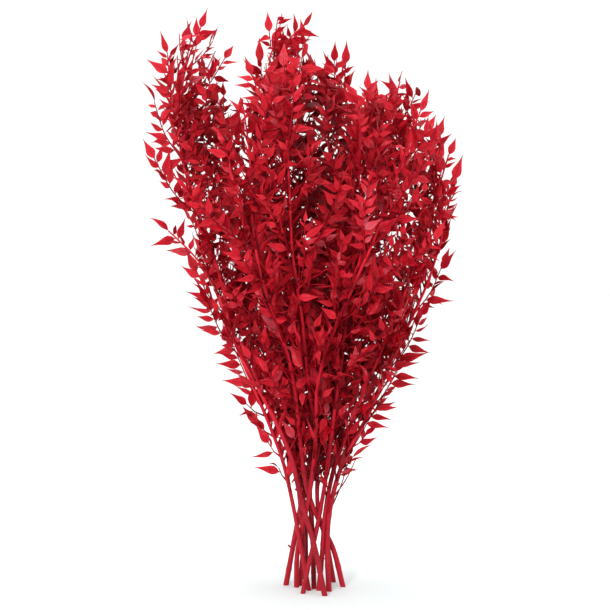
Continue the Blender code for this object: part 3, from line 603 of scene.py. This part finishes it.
def rod_distance(p, q, starts, ends):
    """Distance from the segment p to q to each segment of starts to ends."""
    u = q - p
    v = ends - starts
    w = p - starts
    uu = u @ u
    uv = v @ u
    vv = (v * v).sum(axis=1)
    uw = w @ u
    vw = (v * w).sum(axis=1)
    skew = np.maximum(uu * vv - uv * uv, TINY**2)
    s = np.clip((uv * vw - vv * uw) / skew, 0, 1)
    t = np.clip((uv * s + vw) / vv, 0, 1)
    s = np.clip((uv * t - uw) / uu, 0, 1)
    return norm(w + s[:, None] * u - t[:, None] * v, axis=1)


def crown_at(z):
    """The crown's left and right edge and its half depth at a height."""
    return [np.interp(z, *outline) for outline in (OUTLINE_LEFT, OUTLINE_RIGHT, HALF_DEPTH)]


def in_outline(point, reach=0.0):
    """Whether a point is inside the crown, or no further than that outside it."""
    x, y, z = point
    if np.interp(z, *VALLEY_LEFT) + reach < x < np.interp(z, *VALLEY_RIGHT) - reach:
        return False
    left, right, depth = crown_at(z)
    left -= reach
    right += reach
    depth += reach
    middle = (left + right) / 2
    half = (right - left) / 2
    if not left < x < right:
        return False
    return (abs(x - middle) / half) ** SQUARENESS + (abs(y) / depth) ** SQUARENESS < 1


def along(line, distance):
    """The point that far along a line, and the line's direction there."""
    steps = steps_of(line)
    reached = reached_along(line)
    k = int(np.clip(np.searchsorted(reached, distance) - 1, 0, len(steps) - 1))
    direction = (line[k + 1] - line[k]) / steps[k]
    return line[k] + direction * (distance - reached[k]), direction


def line_length(line):
    return steps_of(line).sum()


def axis_at(stem, place):
    return unit(stem[place + AXIS_REACH] - stem[place - AXIS_REACH])


def away_from(axis, compass):
    """The direction square to a stem that lies at this angle round it."""
    right = unit(np.cross((0.0, 1.0, 0.0), axis))
    return cos(compass) * right + sin(compass) * np.cross(axis, right)


def twig_line(root, axis, compass, length, width=1.0):
    """A twig that leaves its stem at an angle and curves up towards the stem's direction."""
    out = away_from(axis, compass)
    points = [root]
    count = max(round(length / TWIG_STRETCH), 2)
    for share in np.linspace(0, 1, count):
        angle = radians(ANGLE_AT_ROOT + (ANGLE_AT_TIP - ANGLE_AT_ROOT) * share) * width
        step = cos(angle) * axis + sin(angle) * out
        points.append(points[-1] + step * length / count)
    return np.array(points)


def shoot_line(root, axis, tip):
    """A shoot that sets off outward and bends up on its way to its tip."""
    chord = tip - root
    length = norm(chord)
    out = unit(chord - axis * (chord @ axis))
    bend = root + chord / 2 + (out - axis) * SHOOT_BOW * length
    share = np.linspace(0, 1, max(round(length / TWIG_STRETCH), 2) + 1)[:, None]
    return (1 - share) ** 2 * root + 2 * share * (1 - share) * bend + share**2 * tip


def turned_to(vector, other, degrees):
    """A direction turned that far towards another that is square to it."""
    angle = radians(degrees)
    return unit(cos(angle) * vector + sin(angle) * other)


def facing_of(line, wish, most_turn, draws):
    """The way a twig's fan of leaves faces: as near as can be to a wish, then turned."""
    direction = unit(line[-1] - line[0])
    facing = unit(wish - direction * (wish @ direction))
    return turned_to(facing, np.cross(direction, facing), spread(draws, most_turn))


def fan_facing(line, draws):
    """Up and outward, as the fan of a twig inside the crown faces."""
    outward = unit(np.array([line[-1][0], line[-1][1], TINY]))
    return facing_of(line, outward + np.array([0.0, 0.0, FAN_UP]), FAN_TURN, draws)


def edge_facing(line, draws):
    return facing_of(line, np.array(EDGE_FAN_WISH), EDGE_FAN_TURN, draws)


def twig_fits(line, stem_owner, space):
    beyond = np.array([along(line, TWIG_HELD)[0], *line[1:]])
    return space.room(beyond, TWIG_RADIUS, stem_owner) > TWIG_GAP


def new_twig(line, facing, reach, space):
    radii = np.linspace(TWIG_RADIUS, TWIG_TIP_RADIUS, len(line))
    return Twig(line, radii, facing, reach, space.add(line, radii))


def grow_shoots(name, stem, stem_owner, space):
    """The shoots of one stem that make the crown's edge, each to its own tip."""
    shoots = []
    listed = ((stem_name, *shoot) for stem_name, *group in SHOOTS for shoot in group)
    for number, (stem_name, height, *tip) in enumerate(listed):
        if NODE + stem_name != name:
            continue
        place = round(height / MILLIMETRES / LEVEL)
        axis = axis_at(stem, place)
        for attempt in range(TWIG_TRIES):
            shift = (0.0, (-1) ** attempt * SHOOT_SHIFT * attempt, 0.0)
            line = shoot_line(stem[place], axis, in_metres(*tip) + shift)
            if twig_fits(line, stem_owner, space):
                facing = edge_facing(line, seeded("shoot", number))
                shoots.append(new_twig(line, facing, SHOOT_LEAVES_BEYOND, space))
                break
    return shoots


def grow_twigs(name, stem, stem_owner, space, lot="", lower=0.0, width=1.0):
    """The side twigs of one stem, placed round it from the lowest to the highest."""
    twigs = []
    first = FIRST_TWIG[name] - lower
    last = stem[-1][2] - LEADER
    steps = max(int((last - first) / TWIG_STEP), 1)
    compass = seeded(lot + name, "first").uniform(0, 2 * pi)
    for number in range(steps + 1):
        draws = seeded(lot + name, "twig", number)
        share = (number + spread(draws, TWIG_STRAY)) / steps
        place = round((first + (last - first) * share) / LEVEL)
        axis = axis_at(stem, place)
        size = np.interp(share, *TWIG_SIZES) * draws.uniform(*TWIG_SIZE_SPREAD)
        compass += radians(TURN)
        for attempt in range(TWIG_TRIES):
            turned = compass + radians(spread(draws, TURN_SPREAD)) * (1 + attempt)
            length = max(TWIG_LONGEST * size * (1 - TWIG_SHORTENING * attempt), TWIG_SHORTEST)
            line = twig_line(stem[place], axis, turned, length, width)
            if in_outline(line[-1]) and twig_fits(line, stem_owner, space):
                facing = fan_facing(line, draws)
                reach = draws.uniform(*MORE_REACH) if lot else LEAVES_BEYOND
                twigs.append(new_twig(line, facing, reach, space))
                break
    return twigs


def leader_of(name, stem, owner):
    """The top of a stem, as a twig that has no rod of its own."""
    start = stem[-1][2] - LEADER
    line = stem[stem[:, 2] > start]
    facing = edge_facing(line, seeded(name, "leader"))
    return Twig(line, stem_radius(name, line[:, 2]), facing, SHOOT_LEAVES_BEYOND, owner)


def leaf_at(twig, distance, side, draws, attempt):
    """One leaf of a twig: side is 1 or -1, or 0 for the leaf that ends the twig."""
    root, direction = along(twig.line, distance)
    across = unit(np.cross(twig.facing, direction))
    angle = radians(LEAF_ANGLE + spread(draws, LEAF_ANGLE_SPREAD)) * side
    flat = cos(angle) * direction + sin(angle) * across
    face = unit(twig.facing - flat * (twig.facing @ flat))
    roll = spread(draws, LEAF_ROLL) + (-1) ** attempt * LEAF_RETRY_ROLL * attempt
    lift = spread(draws, LEAF_LIFT) + (-1) ** (attempt // 2) * LEAF_RETRY_LIFT * attempt
    pointing = turned_to(flat, face, lift)
    face = turned_to(np.cross(np.cross(pointing, face), pointing), np.cross(pointing, face), roll)
    length = draws.uniform(*(EDGE_LEAF_LENGTH if twig.reach == SHOOT_LEAVES_BEYOND else LEAF_LENGTH))
    return Leaf(root, pointing, face, length, length * LEAF_WIDTH)


def stem_leaf(name, stem, number, compass, attempt):
    """A large leaf that sits on the stem between two twigs."""
    draws = seeded(name, "stem leaf", number)
    height = FIRST_TWIG[name] + number * STEM_LEAF_STEP
    place = round(height / LEVEL)
    axis = axis_at(stem, place)
    stray = spread(draws, STEM_LEAF_TURN_SPREAD)
    sideways = away_from(axis, compass + radians(stray + STEM_LEAF_RETRY_TURN * attempt))
    angle = STEM_LEAF_ANGLE + spread(draws, STEM_LEAF_ANGLE_SPREAD)
    pointing = turned_to(axis, sideways, angle)
    flat = np.cross(axis, sideways)
    face = turned_to(np.cross(pointing, flat), flat, spread(draws, STEM_LEAF_ROLL))
    length = draws.uniform(*STEM_LEAF_LENGTH)
    return Leaf(stem[place], pointing, face, length, length * LEAF_WIDTH)


def leaf_rod(leaf):
    """A leaf's place as a short rod, from where it widens to its tip."""
    return np.array([leaf.root + leaf.along * leaf.length * share for share in LEAF_ROD])


def leaf_fits(leaf, reach, owner, space):
    """Whether a leaf's tip is in the crown, or within reach of it, and clear of all but its twig."""
    rod = leaf_rod(leaf)
    if not in_outline(rod[-1], reach):
        return False
    wide = space.room(rod[:2], leaf.width / 2, owner)
    tip = space.room(rod[1:], leaf.width * LEAF_TIP_WIDTH, owner)
    return min(wide, tip) > LEAF_GAP


def in_box(point, margin):
    low, high = CAD_BOX
    return all(low[k] + margin < point[k] < high[k] - margin for k in range(3))


def strayed(leaf, sizes, widths, draws):
    """A leaf turned and sized more freely than the solids' ones."""
    across = np.cross(leaf.face, leaf.along)
    pointing = turned_to(leaf.along, leaf.face, spread(draws, MORE_LIFT))
    pointing = turned_to(pointing, across, spread(draws, MORE_SWING))
    face = unit(leaf.face - pointing * (leaf.face @ pointing))
    length = leaf.length * draws.uniform(*sizes)
    return Leaf(leaf.root, pointing, face, length, length * draws.uniform(*widths))


def hides_stem(leaf, space):
    """Whether a leaf would cover one of the stems that are seen up through the crown's front."""
    for share, (name, low, high) in itertools.product(SEEN_PLACES, SEEN_STEMS):
        x, y, z = leaf.root + leaf.along * leaf.length * share
        if low < z < high:
            seen_x, seen_y, _ = space.stems[NODE + name][round(z / LEVEL)]
            if y < seen_y and abs(x - seen_x) < SEEN_MARGIN:
                return True
    return False


def slim_leaf_fits(leaf, reach, owner, space):
    """The same for a leaf that only the scene has: it needs less room, and hides no stem in front."""
    rod = leaf_rod(leaf)
    if rod[-1][2] < LOWEST_LEAF or hides_stem(leaf, space) or not in_outline(rod[-1], reach):
        return False
    return in_box(rod[-1], BOX_MARGIN) and space.room(rod, SLIM_ROD, owner) > SLIM_GAP


# How often a leaf is tried, its test, and the room that it takes, of its width
SOLID = LeafRule(LEAF_TRIES, leaf_fits, LEAF_ROD_WIDTHS)
SLIM = LeafRule(MORE_LEAF_TRIES, slim_leaf_fits, SLIM_WIDTHS)


def placed(make, reach, owner, space, rule):
    """The first of several tries at a leaf that fits, which then takes its room, or nothing."""
    for attempt in range(rule.tries):
        leaf = make(attempt)
        if rule.fits(leaf, reach, owner, space):
            space.add(leaf_rod(leaf), np.array(rule.widths) * leaf.width, owner)
            return leaf


def grow_stem_leaves(name, stem, owner, space, more=False):
    """Large leaves along the stem itself, each on another side than the last.

    The solids' leaves come first, and more of them between those.
    """
    leaves = []
    steps = (stem[-1][2] - LEADER - FIRST_TWIG[name]) / STEM_LEAF_STEP
    if more:
        reach, rule, key = LEAVES_BEYOND, SLIM, "more leaf side"
        numbers = [(k + 0.5) / MORE_STEM_LEAVES for k in range(int(steps * MORE_STEM_LEAVES))]
    else:
        reach, rule, key = SHOOT_LEAVES_BEYOND, SOLID, "leaf side"
        numbers = range(int(steps) + 1)
    compass = seeded(name, key).uniform(0, 2 * pi)
    for number in numbers:
        compass += radians(TURN)
        make = partial(stem_leaf, name, stem, number, compass)
        if leaf := placed(make, reach, owner, space, rule):
            leaves.append(leaf)
    return leaves


def twig_leaf(name, lot, number, twig, length, place, attempt):
    """A leaf at one place on a twig. They alternate from side to side, and the first one ends it."""
    side = 0 if place == 0 else (-1) ** (place + number)
    if not lot:
        draws = seeded(name, "leaf", number, place)
        return leaf_at(twig, length - LEAF_SUNK - place * LEAF_STEP, side, draws, attempt)
    draws = seeded(lot, name, "leaf", number, place)
    shift = draws.uniform(0, MORE_SHIFT) * MORE_STEP * abs(side)
    leaf = leaf_at(twig, length - LEAF_SUNK - shift - place * MORE_STEP, side, draws, attempt)
    if twig.reach == SHOOT_LEAVES_BEYOND:
        return strayed(leaf, EDGE_SIZES, EDGE_WIDTHS, draws)
    sizes = np.interp(leaf.root[2], *LOW_SIZES) * np.array(MORE_SIZES)
    return strayed(leaf, sizes, MORE_WIDTHS, draws)


def grow_leaves(name, twigs, space, lot=None, taken=()):
    """Each twig and leaf, by the twig's number and the leaf's place.

    The solids' leaves are at the tip of every twig and at every few places below. Those of a lot
    are at all the places that aren't taken, which lie closer together.
    """
    step, pitch, rule = (MORE_STEP, 1, SLIM) if lot else (LEAF_STEP, LEAF_PITCH, SOLID)
    leaves = {}
    for number, twig in enumerate(twigs):
        length = line_length(twig.line)
        for place in range(0, int((length - FIRST_LEAF) / step) + 1, pitch):
            if (number, place) not in taken:
                make = partial(twig_leaf, name, lot, number, twig, length, place)
                if leaf := placed(make, twig.reach, twig.owner, space, rule):
                    leaves[number, place] = (twig, leaf)
    return leaves


def add_object(name, data, place=(0, 0, 0), turned=(0, 0, 0)):
    thing = bpy.data.objects.new(name, data)
    thing.location = place
    thing.rotation_euler = turned
    bpy.context.scene.collection.objects.link(thing)
    return thing


class Surface:
    """The points, marks, triangles and slots of one piece, gathered until its mesh is made."""

    def __init__(self):
        self.parts = []
        self.count = 0

    def add(self, points, marks, faces, slots):
        self.parts.append((points, marks, faces + self.count, slots))
        self.count += len(points)

    def piece(self, name, materials):
        points, marks, faces, slots = (np.concatenate(part) for part in zip(*self.parts))
        mesh = bpy.data.meshes.new(name)
        mesh.from_pydata(points, [], faces.tolist())
        mesh.polygons.foreach_set("material_index", slots.astype(np.int32))
        attribute = mesh.attributes.new("marks", "FLOAT_VECTOR", "POINT")
        attribute.data.foreach_set("vector", marks.astype(np.float32).ravel())
        mesh.shade_smooth()
        mesh.set_sharp_from_angle(angle=SHARP_OVER)
        for material in materials:
            mesh.materials.append(material)
        return add_object(name, mesh)


def marks_from(*values):
    return np.stack(np.broadcast_arrays(*values), axis=-1)


def add_rod(surface, line, radii, sides, tone, slot, end_slot, level_foot=False):
    """A round rod with closed ends. Its marks are places on its bark, unrolled, and its tone."""
    directions = np.gradient(line, axis=0)
    if level_foot:
        directions[0] = (0, 0, 1)
    directions /= norm(directions, axis=1)[:, None]
    across = np.cross((0.0, 1.0, 0.0), directions)
    across /= norm(across, axis=1)[:, None]
    up = np.cross(directions, across)
    turns = np.arange(sides) * 2 * pi / sides
    ring = np.cos(turns)[None, :, None] * up[:, None] + np.sin(turns)[None, :, None] * across[:, None]
    points = line[:, None] + ring * radii[:, None, None]
    marks = marks_from(turns / (2 * pi), reached_along(line)[:, None], tone)
    rings = np.arange(len(line) * sides).reshape(len(line), sides)
    low, high = rings[:-1], rings[1:]
    low_next, high_next = np.roll(low, -1, axis=1), np.roll(high, -1, axis=1)
    walls = ((low, low_next, high_next), (low, high_next, high))
    faces = [np.stack(corners, axis=-1).reshape(-1, 3) for corners in walls]
    for rim, way, middle in ((rings[0], 1, rings.size), (rings[-1], -1, rings.size + 1)):
        faces.append(np.stack([rim, np.roll(rim, way), np.full(sides, middle)], axis=-1))
    slots = [slot] * (2 * low.size) + [end_slot] * (2 * sides)
    surface.add(
        np.concatenate([points.reshape(-1, 3), line[[0, -1]]]),
        np.concatenate([marks.reshape(-1, 3), [[0, 0, tone]] * 2]),
        np.concatenate(faces), slots,
    )


def new_blade(outline, columns):
    return Blade(*np.array(outline).T, np.array(columns), blade_faces(len(outline) - 1, len(columns)))


def blade_faces(rows, columns):
    """The triangles of one leaf: its upper side, its under side, and the end of its stalk."""
    inner = columns - 2
    upper = np.arange(rows * columns).reshape(rows, columns)
    under = upper.copy()
    under[:, 1:-1] = rows * columns + np.arange(rows * inner).reshape(rows, inner)
    tip = rows * (columns + inner)
    faces = []
    for side, turn in ((upper, 1), (under, -1)):
        a, b, c, d = side[:-1, :-1], side[:-1, 1:], side[1:, 1:], side[1:, :-1]
        for corners in ((a, b, c), (a, c, d)):
            faces.append(np.stack(corners[::turn], axis=-1).reshape(-1, 3))
        edge = (side[-1, :-1], side[-1, 1:], np.full(columns - 1, tip))
        faces.append(np.stack(edge[::turn], axis=-1))
    corner = np.full(inner, upper[0, 0])
    faces.append(np.stack([corner, under[0, 1:-1], under[0, 2:]], axis=-1))
    faces.append(np.stack([corner, upper[0, 2:], upper[0, 1:-1]], axis=-1))
    return np.concatenate(faces)


def both_turned(first, second, angles):
    """Two directions square to each other, turned together from the first towards the second."""
    cosines, sines = np.cos(angles)[:, None], np.sin(angles)[:, None]
    return cosines * first + sines * second, cosines * second - sines * first


def add_leaf(surface, leaf, draws, tone, blade):
    """One leaf as a thin closed blade, folded at its midrib, bent back, twisted and rippled."""
    share, width, columns, faces = blade
    bend = radians(draws.uniform(*BEND))
    curl = radians(draws.uniform(*TIP_CURL))
    twist = radians(spread(draws, TWIST))
    fold = draws.uniform(*FOLD)
    phase = draws.uniform(0, 2 * pi)
    near_tip = np.clip((share - CURL_FROM) / CURL_OVER, 0, 1)
    angle = bend * share**BEND_GROWTH + curl * near_tip**2
    across = np.cross(leaf.face, leaf.along)
    face_row, along_row = both_turned(leaf.face, leaf.along, angle)
    steps = (along_row[1:] + along_row[:-1]) / 2 * (np.diff(share) * leaf.length)[:, None]
    spine = leaf.root + np.concatenate([np.zeros((1, 3)), np.cumsum(steps, axis=0)])
    side_row, up_row = both_turned(across, face_row, twist * share)
    half = (width * leaf.width / 2)[:, None]
    sideways = half * columns * cos(fold)
    raised = half * np.abs(columns) * sin(fold)
    waves = phase + RIPPLES * share[:, None] + RIPPLE_OFFSET * np.sign(columns)
    ripple = RIPPLE * half * columns**2 * np.sin(waves)
    middle = spine[:, None] + sideways[..., None] * side_row[:, None]
    middle += (raised + ripple)[..., None] * up_row[:, None]
    swell = BLADE_THICKNESS * (1 - np.abs(columns)) ** 0.5
    swell = swell * np.clip(width * BLADE_SWELL, BLADE_THINNEST, 1)[:, None]
    upper = middle + swell[..., None] * up_row[:, None]
    under = middle - swell[..., None] * up_row[:, None]
    marks = marks_from(columns, share[:, None], tone)
    points, marks = (
        np.concatenate([top[:-1].reshape(-1, 3), low[:-1, 1:-1].reshape(-1, 3), tip])
        for top, low, tip in ((upper, under, spine[-1:]), (marks, marks, [[0, 1, tone]]))
    )
    # A leaf that would reach past the solids' box is moved back into it, its tip the most
    past = np.clip(points, *CAD_BOX) - points
    points += np.sqrt(marks[:, 1:2]) * (past.min(axis=0) + past.max(axis=0))
    surface.add(points, marks, faces, [LEAF_SLOT] * len(faces))


def add_twig(surface, twig, tone):
    """A round side twig on a smooth curve, thicker where it leaves its stem."""
    length = line_length(twig.line)
    count = max(int(length / TWIG_RING), 3)
    places = reached_along(twig.line)
    line = on_smooth_curve(places, twig.line, np.linspace(0, places[-1], count))
    reached = np.linspace(0, length, count)
    radii = np.linspace(twig.radii[0], twig.radii[-1], count) * TWIG_THINNER
    radii *= 1 + TWIG_COLLAR * np.exp(-reached / TWIG_COLLAR_LENGTH)
    add_rod(surface, line, radii, TWIG_ROUND, tone, TWIG_SLOT, TWIG_SLOT)


def add_stem(surface, name, stem, tone):
    """The stem itself: round, a little uneven, with a swollen ring at every node, and its stubs."""
    draws = seeded(name, "bark")
    line = eased(stem, STEM_EASING)
    radii = stem_radius(name, line[:, 2])
    heights = line[:, 2]
    node = draws.uniform(0, NODE_STEP[1])
    while node < heights[-1]:
        radii *= 1 + NODE_SWELL * np.exp(-(((heights - node) / NODE_LENGTH) ** 2))
        node += draws.uniform(*NODE_STEP)
    fast, slow = STEM_WAVES
    phase = draws.uniform(0, STEM_WAVE_START)
    radii *= 1 + STEM_UNEVEN * np.sin(heights * fast + phase) * np.sin(heights * slow)
    add_rod(surface, line, radii, STEM_ROUND, tone, BARK_SLOT, CUT_SLOT, level_foot=True)
    for stem_name, height, compass, length in STUBS:
        if NODE + stem_name == name:
            place = round(height / LEVEL)
            axis = unit(stem[place + 1] - stem[place - 1])
            out = np.array([cos(radians(compass)), sin(radians(compass)), 0.0])
            end = stem[place] + unit(out + STUB_RISE * axis) * length
            line = np.linspace(stem[place], end, STUB_POINTS)
            radii = np.linspace(*STUB_RADII, STUB_POINTS)
            add_rod(surface, line, radii, TWIG_ROUND, tone, BARK_SLOT, CUT_SLOT)


def new_material(name):
    material = bpy.data.materials.new(name)
    material.use_nodes = True
    return material, material.node_tree, material.node_tree.nodes["Principled BSDF"]


def fill(node, inputs):
    """Fill a node's inputs, by number or name, with a value or the socket to link."""
    for key, value in dict(inputs).items():
        if isinstance(value, bpy.types.NodeSocket):
            node.id_data.links.new(value, node.inputs[key])
        else:
            node.inputs[key].default_value = value


def add_node(kind, source, inputs=(), **settings):
    """A node in the tree of its first source, which goes into its first input."""
    node = source.id_data.nodes.new(kind)
    for key, value in settings.items():
        setattr(node, key, value)
    fill(node, {0: source, **dict(inputs)})
    return node


def maths(operation, source, *values):
    return add_node("ShaderNodeMath", source, enumerate(values, 1), operation=operation).outputs[0]


def product(source, value):
    return maths("MULTIPLY", source, value)


def weighted(weights, *values):
    """The sum of values, each times its weight."""
    first, *others = map(product, values, weights)
    for other in others:
        first = maths("ADD", first, other)
    return first


def span(value, *ends):
    """A value mapped from between two ends to between 0 and 1, or to between two more ends."""
    return add_node("ShaderNodeMapRange", value, enumerate(ends, 1), clamp=True).outputs[0]


def blend(share, first, second):
    return add_node("ShaderNodeMix", share, {6: first, 7: second}, data_type="RGBA").outputs[2]


def noise(place, scale, detail=3.0, roughness=0.55):
    inputs = {"Scale": scale, "Detail": detail, "Roughness": roughness}
    return add_node("ShaderNodeTexNoise", place, inputs).outputs["Fac"]


def ramp(value, stops):
    node = add_node("ShaderNodeValToRGB", value)
    elements = node.color_ramp.elements
    while len(elements) < len(stops):
        elements.new(0.5)
    for element, (position, colour) in zip(elements, stops):
        element.position = position
        element.color = colour
    return node.outputs[0]


def bump(height, strength, distance):
    node = height.id_data.nodes.new("ShaderNodeBump")
    fill(node, {"Height": height, "Strength": strength, "Distance": distance})
    return node.outputs[0]


def object_place(tree):
    return tree.nodes.new("ShaderNodeTexCoord").outputs["Object"]


def parts_of(vector):
    return add_node("ShaderNodeSeparateXYZ", vector).outputs


def marks_of(tree):
    node = tree.nodes.new("ShaderNodeAttribute")
    node.attribute_name = "marks"
    return parts_of(node.outputs["Vector"])


def leaf_material():
    """A dyed dry leaf: parallel darker veins, blotchy dye, a dark dry tip, a matt face."""
    material, tree, shader = new_material("dyed_leaf")
    across, share, tone = marks_of(tree)
    place = object_place(tree)
    blotches = noise(place, BLOTCH_SCALE)
    specks = noise(place, SPECK_SCALE, detail=2.0)
    # The tone carries the painted shade and light given to each leaf in dress_stem
    colour = ramp(weighted(LEAF_SHADE, tone, blotches), LEAF_STOPS)
    wander = product(maths("SUBTRACT", specks, 0.5), VEIN_WANDER)
    waves = product(maths("ADD", across, wander), VEIN_WAVES)
    veins = span(maths("COSINE", waves), *VEIN_SPAN)
    midrib = span(maths("ABSOLUTE", across), *MIDRIB_SPAN)
    vein_share = product(maths("MAXIMUM", veins, midrib), VEIN_SHARE)
    colour = blend(vein_share, colour, LEAF_DARK)
    tip = span(weighted(TIP_EDGE, share, blotches), *TIP_SPAN)
    stalk = span(share, *STALK_SPAN)
    colour = blend(maths("MAXIMUM", tip, stalk), colour, LEAF_TIP)
    height = weighted(LEAF_RELIEF, veins, specks)
    fill(shader, {
        "Base Color": colour, "Roughness": span(blotches, *LEAF_ROUGHNESS),
        "Normal": bump(height, *LEAF_BUMP), "Specular IOR Level": 0.12,
        "Subsurface Weight": 0.25, "Subsurface Radius": (1.0, 0.12, 0.10), "Subsurface Scale": 0.0012,
    })
    return material


def bark_material(name, dark, light, scuffs_and_painted_light, specular):
    """Dyed bark: long fibres, darker hollows, and pale scuffs where the dye has rubbed off, with
    painted light higher up, among the leaves.
    """
    material, tree, shader = new_material(name)
    round_share, reached, tone = marks_of(tree)
    place = object_place(tree)
    turn = product(round_share, 2 * pi)
    sides = [product(maths(way, turn), BARK_ROUND) for way in ("COSINE", "SINE")]
    inputs = {1: sides[1], 2: product(reached, BARK_ALONG)}
    unrolled = add_node("ShaderNodeCombineXYZ", sides[0], inputs).outputs[0]
    fibres = noise(unrolled, FIBRE_SCALE, detail=4.0, roughness=0.6)
    patches = noise(place, PATCH_SCALE)
    shade = weighted(BARK_SHADE, fibres, patches, tone)
    colour = ramp(shade, list(zip(BARK_STOPS, (dark, light))))
    rubbed = noise(unrolled, SCUFF_SCALE, detail=5.0, roughness=0.65)
    spots = product(span(rubbed, *RUBBED_SPAN), span(patches, *SCUFFED_SPAN))
    colour = blend(product(spots, scuffs_and_painted_light), colour, SCUFF)
    # Painted light: higher up, among the leaves, the bark is made lighter as if lit there, by the
    # same weight as the scuffs
    painted_light_share = span(parts_of(place)["Z"], *PAINTED_LIGHT_ABOVE, 0.0, MOST_PAINTED_LIGHT * scuffs_and_painted_light)
    fill(shader, {
        "Base Color": blend(painted_light_share, colour, BARK_PAINTED_LIGHT),
        "Roughness": span(fibres, *BARK_ROUGHNESS),
        "Normal": bump(fibres, *BARK_BUMP), "Specular IOR Level": specular,
    })
    return material


def cut_material():
    """A cut end: dyed wood, mottled by noise from dark bark to pale pith."""
    material, tree, shader = new_material("dyed_cut_end")
    grain = noise(object_place(tree), GRAIN_SCALE)
    colour = ramp(grain, CUT_STOPS)
    bumps = bump(grain, *CUT_BUMP)
    fill(shader, {"Base Color": colour, "Normal": bumps, "Roughness": 0.75})
    return material


def grow_bunch():
    """Every stem's line, twigs and leaves: those of the solids first, then the others."""
    lines = stem_lines()
    space = Space(lines)
    stems = {
        name: (name, line, space.add(line, stem_radius(name, line[:, 2])), space)
        for name, line in lines.items()
    }
    first = {name: grow_shoots(*stem) for name, stem in stems.items()}
    for name, stem in stems.items():
        first[name] = [leader_of(*stem[:3]), *first[name], *grow_twigs(*stem)]
    leaves = {name: grow_leaves(name, first[name], space) for name in stems}
    stem_leaves = {name: grow_stem_leaves(*stem) for name, stem in stems.items()}
    more = {name: [] for name in stems}
    for (lot, lower, width), (name, stem) in itertools.product(MORE_TWIGS, stems.items()):
        more[name] += grow_twigs(*stem, lot, lower, width)
    for name, stem in stems.items():
        stem_leaves[name] += grow_stem_leaves(*stem, more=True)
    bunch = {}
    for name, line in lines.items():
        taken = {(number, place * LEAVES_A_PITCH // LEAF_PITCH) for number, place in leaves[name]}
        between = grow_leaves(name, first[name], space, "between", taken)
        on_more = grow_leaves(name, more[name], space, "more")
        grown = [*leaves[name].values(), *between.values(), *on_more.values()]
        grown += [(None, leaf) for leaf in stem_leaves[name]]
        bunch[name] = (line, first[name][1:] + more[name], grown)
    return bunch


def way_out(twig, leaf):
    """How far a leaf is from the crown's middle line, as a share of the way to its outline, with high
    leaves and those of shoots counted as all the way out. It sets how much painted shade or painted
    light the leaf's tone has, and its blade.
    """
    if twig and twig.reach == SHOOT_LEAVES_BEYOND:
        return 1.0
    x, y, z = leaf.root
    left, right, depth = crown_at(z)
    high = np.interp(z, *PAINTED_LIGHT_TOP)
    return max(hypot((2 * x - left - right) / (right - left), y / depth), high)


def dress_stem(name, stem, twigs, leaves, materials):
    """One stem's piece, which takes the place of its solid."""
    surface = Surface()
    draws = seeded(name, "looks")
    # Painted light: the stems in front take the lightest tone, as if lit
    stem_tone = 1.0 if name in PAINTED_LIGHT_STEMS else draws.random()
    add_stem(surface, name, stem, stem_tone)
    tones = {}
    for twig in twigs:
        tones[twig.owner] = draws.random()
        add_twig(surface, twig, tones[twig.owner])
    outer = new_blade(BLADE, BLADE_COLUMNS)
    inner = new_blade(INNER_BLADE, INNER_COLUMNS)
    for twig, leaf in leaves:
        out = way_out(twig, leaf)
        tone = tones.get(twig.owner, stem_tone) if twig else stem_tone
        tone = TWIG_SHARE * tone + (1 - TWIG_SHARE) * draws.random()
        # Painted shade and light: darker deep in the crown, lighter at its outline and its top
        tone = (tone - 0.5) * np.interp(out, *TONE_SPREAD) + np.interp(out, *PAINTED_SHADE_TONES)
        add_leaf(surface, leaf, draws, tone, inner if out < INNER else outer)
    piece = surface.piece(name.replace("leafy_stem", "ruscus_stem"), materials)
    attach(piece, "root")
    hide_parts(name)


def add_floor():
    bpy.ops.mesh.primitive_plane_add(size=FLOOR_SIZE)
    floor = bpy.context.active_object
    floor.name = "floor"
    material, tree, shader = new_material("floor")
    away = add_node("ShaderNodeVectorMath", object_place(tree), operation="LENGTH")
    # The floor is painted darker and a little cyan near the bunch, to offset the lights and the red
    # light that the bunch throws there
    colour = blend(span(away.outputs["Value"], 0.0, FLOOR_LIT), FLOOR_NEAR, FLOOR_FAR)
    fill(shader, {"Base Color": colour, "Roughness": 0.7, "Specular IOR Level": 0.2})
    floor.data.materials.append(material)


def add_studio():
    scene = bpy.context.scene
    world = bpy.data.worlds.new("studio")
    world.use_nodes = True
    background = world.node_tree.nodes["Background"]
    fill(background, {"Color": (1, 1, 1, 1), "Strength": WORLD_STRENGTH})
    scene.world = world
    scene.view_settings.view_transform = "Standard"
    scene.view_settings.look = "None"
    for name, place, size, power in LIGHTS:
        lamp = bpy.data.lights.new(name, "AREA")
        lamp.shape = "DISK"
        lamp.size = size
        lamp.energy = power
        aim = (LIT_POINT - Vector(place)).to_track_quat("-Z", "Y").to_euler()
        add_object(name, lamp, place, aim)
    camera = bpy.data.cameras.new("camera")
    camera.sensor_width = SENSOR
    camera.lens = FOCAL_PIXELS / FRAME_PIXELS * SENSOR
    turned = (radians(90 - CAMERA_PITCH), 0, radians(CAMERA_YAW))
    scene.camera = add_object("camera", camera, CAMERA_PLACE, turned)


def main():
    add_studio()
    add_floor()
    materials = [
        leaf_material(),
        bark_material("dyed_bark", BARK_DARK, BARK_LIGHT, scuffs_and_painted_light=0.55, specular=0.14),
        bark_material("dyed_twig", TWIG_DARK, TWIG_LIGHT, scuffs_and_painted_light=0.10, specular=0.05),
        cut_material(),
    ]
    for name, (stem, twigs, leaves) in grow_bunch().items():
        dress_stem(name, stem, twigs, leaves, materials)


main()
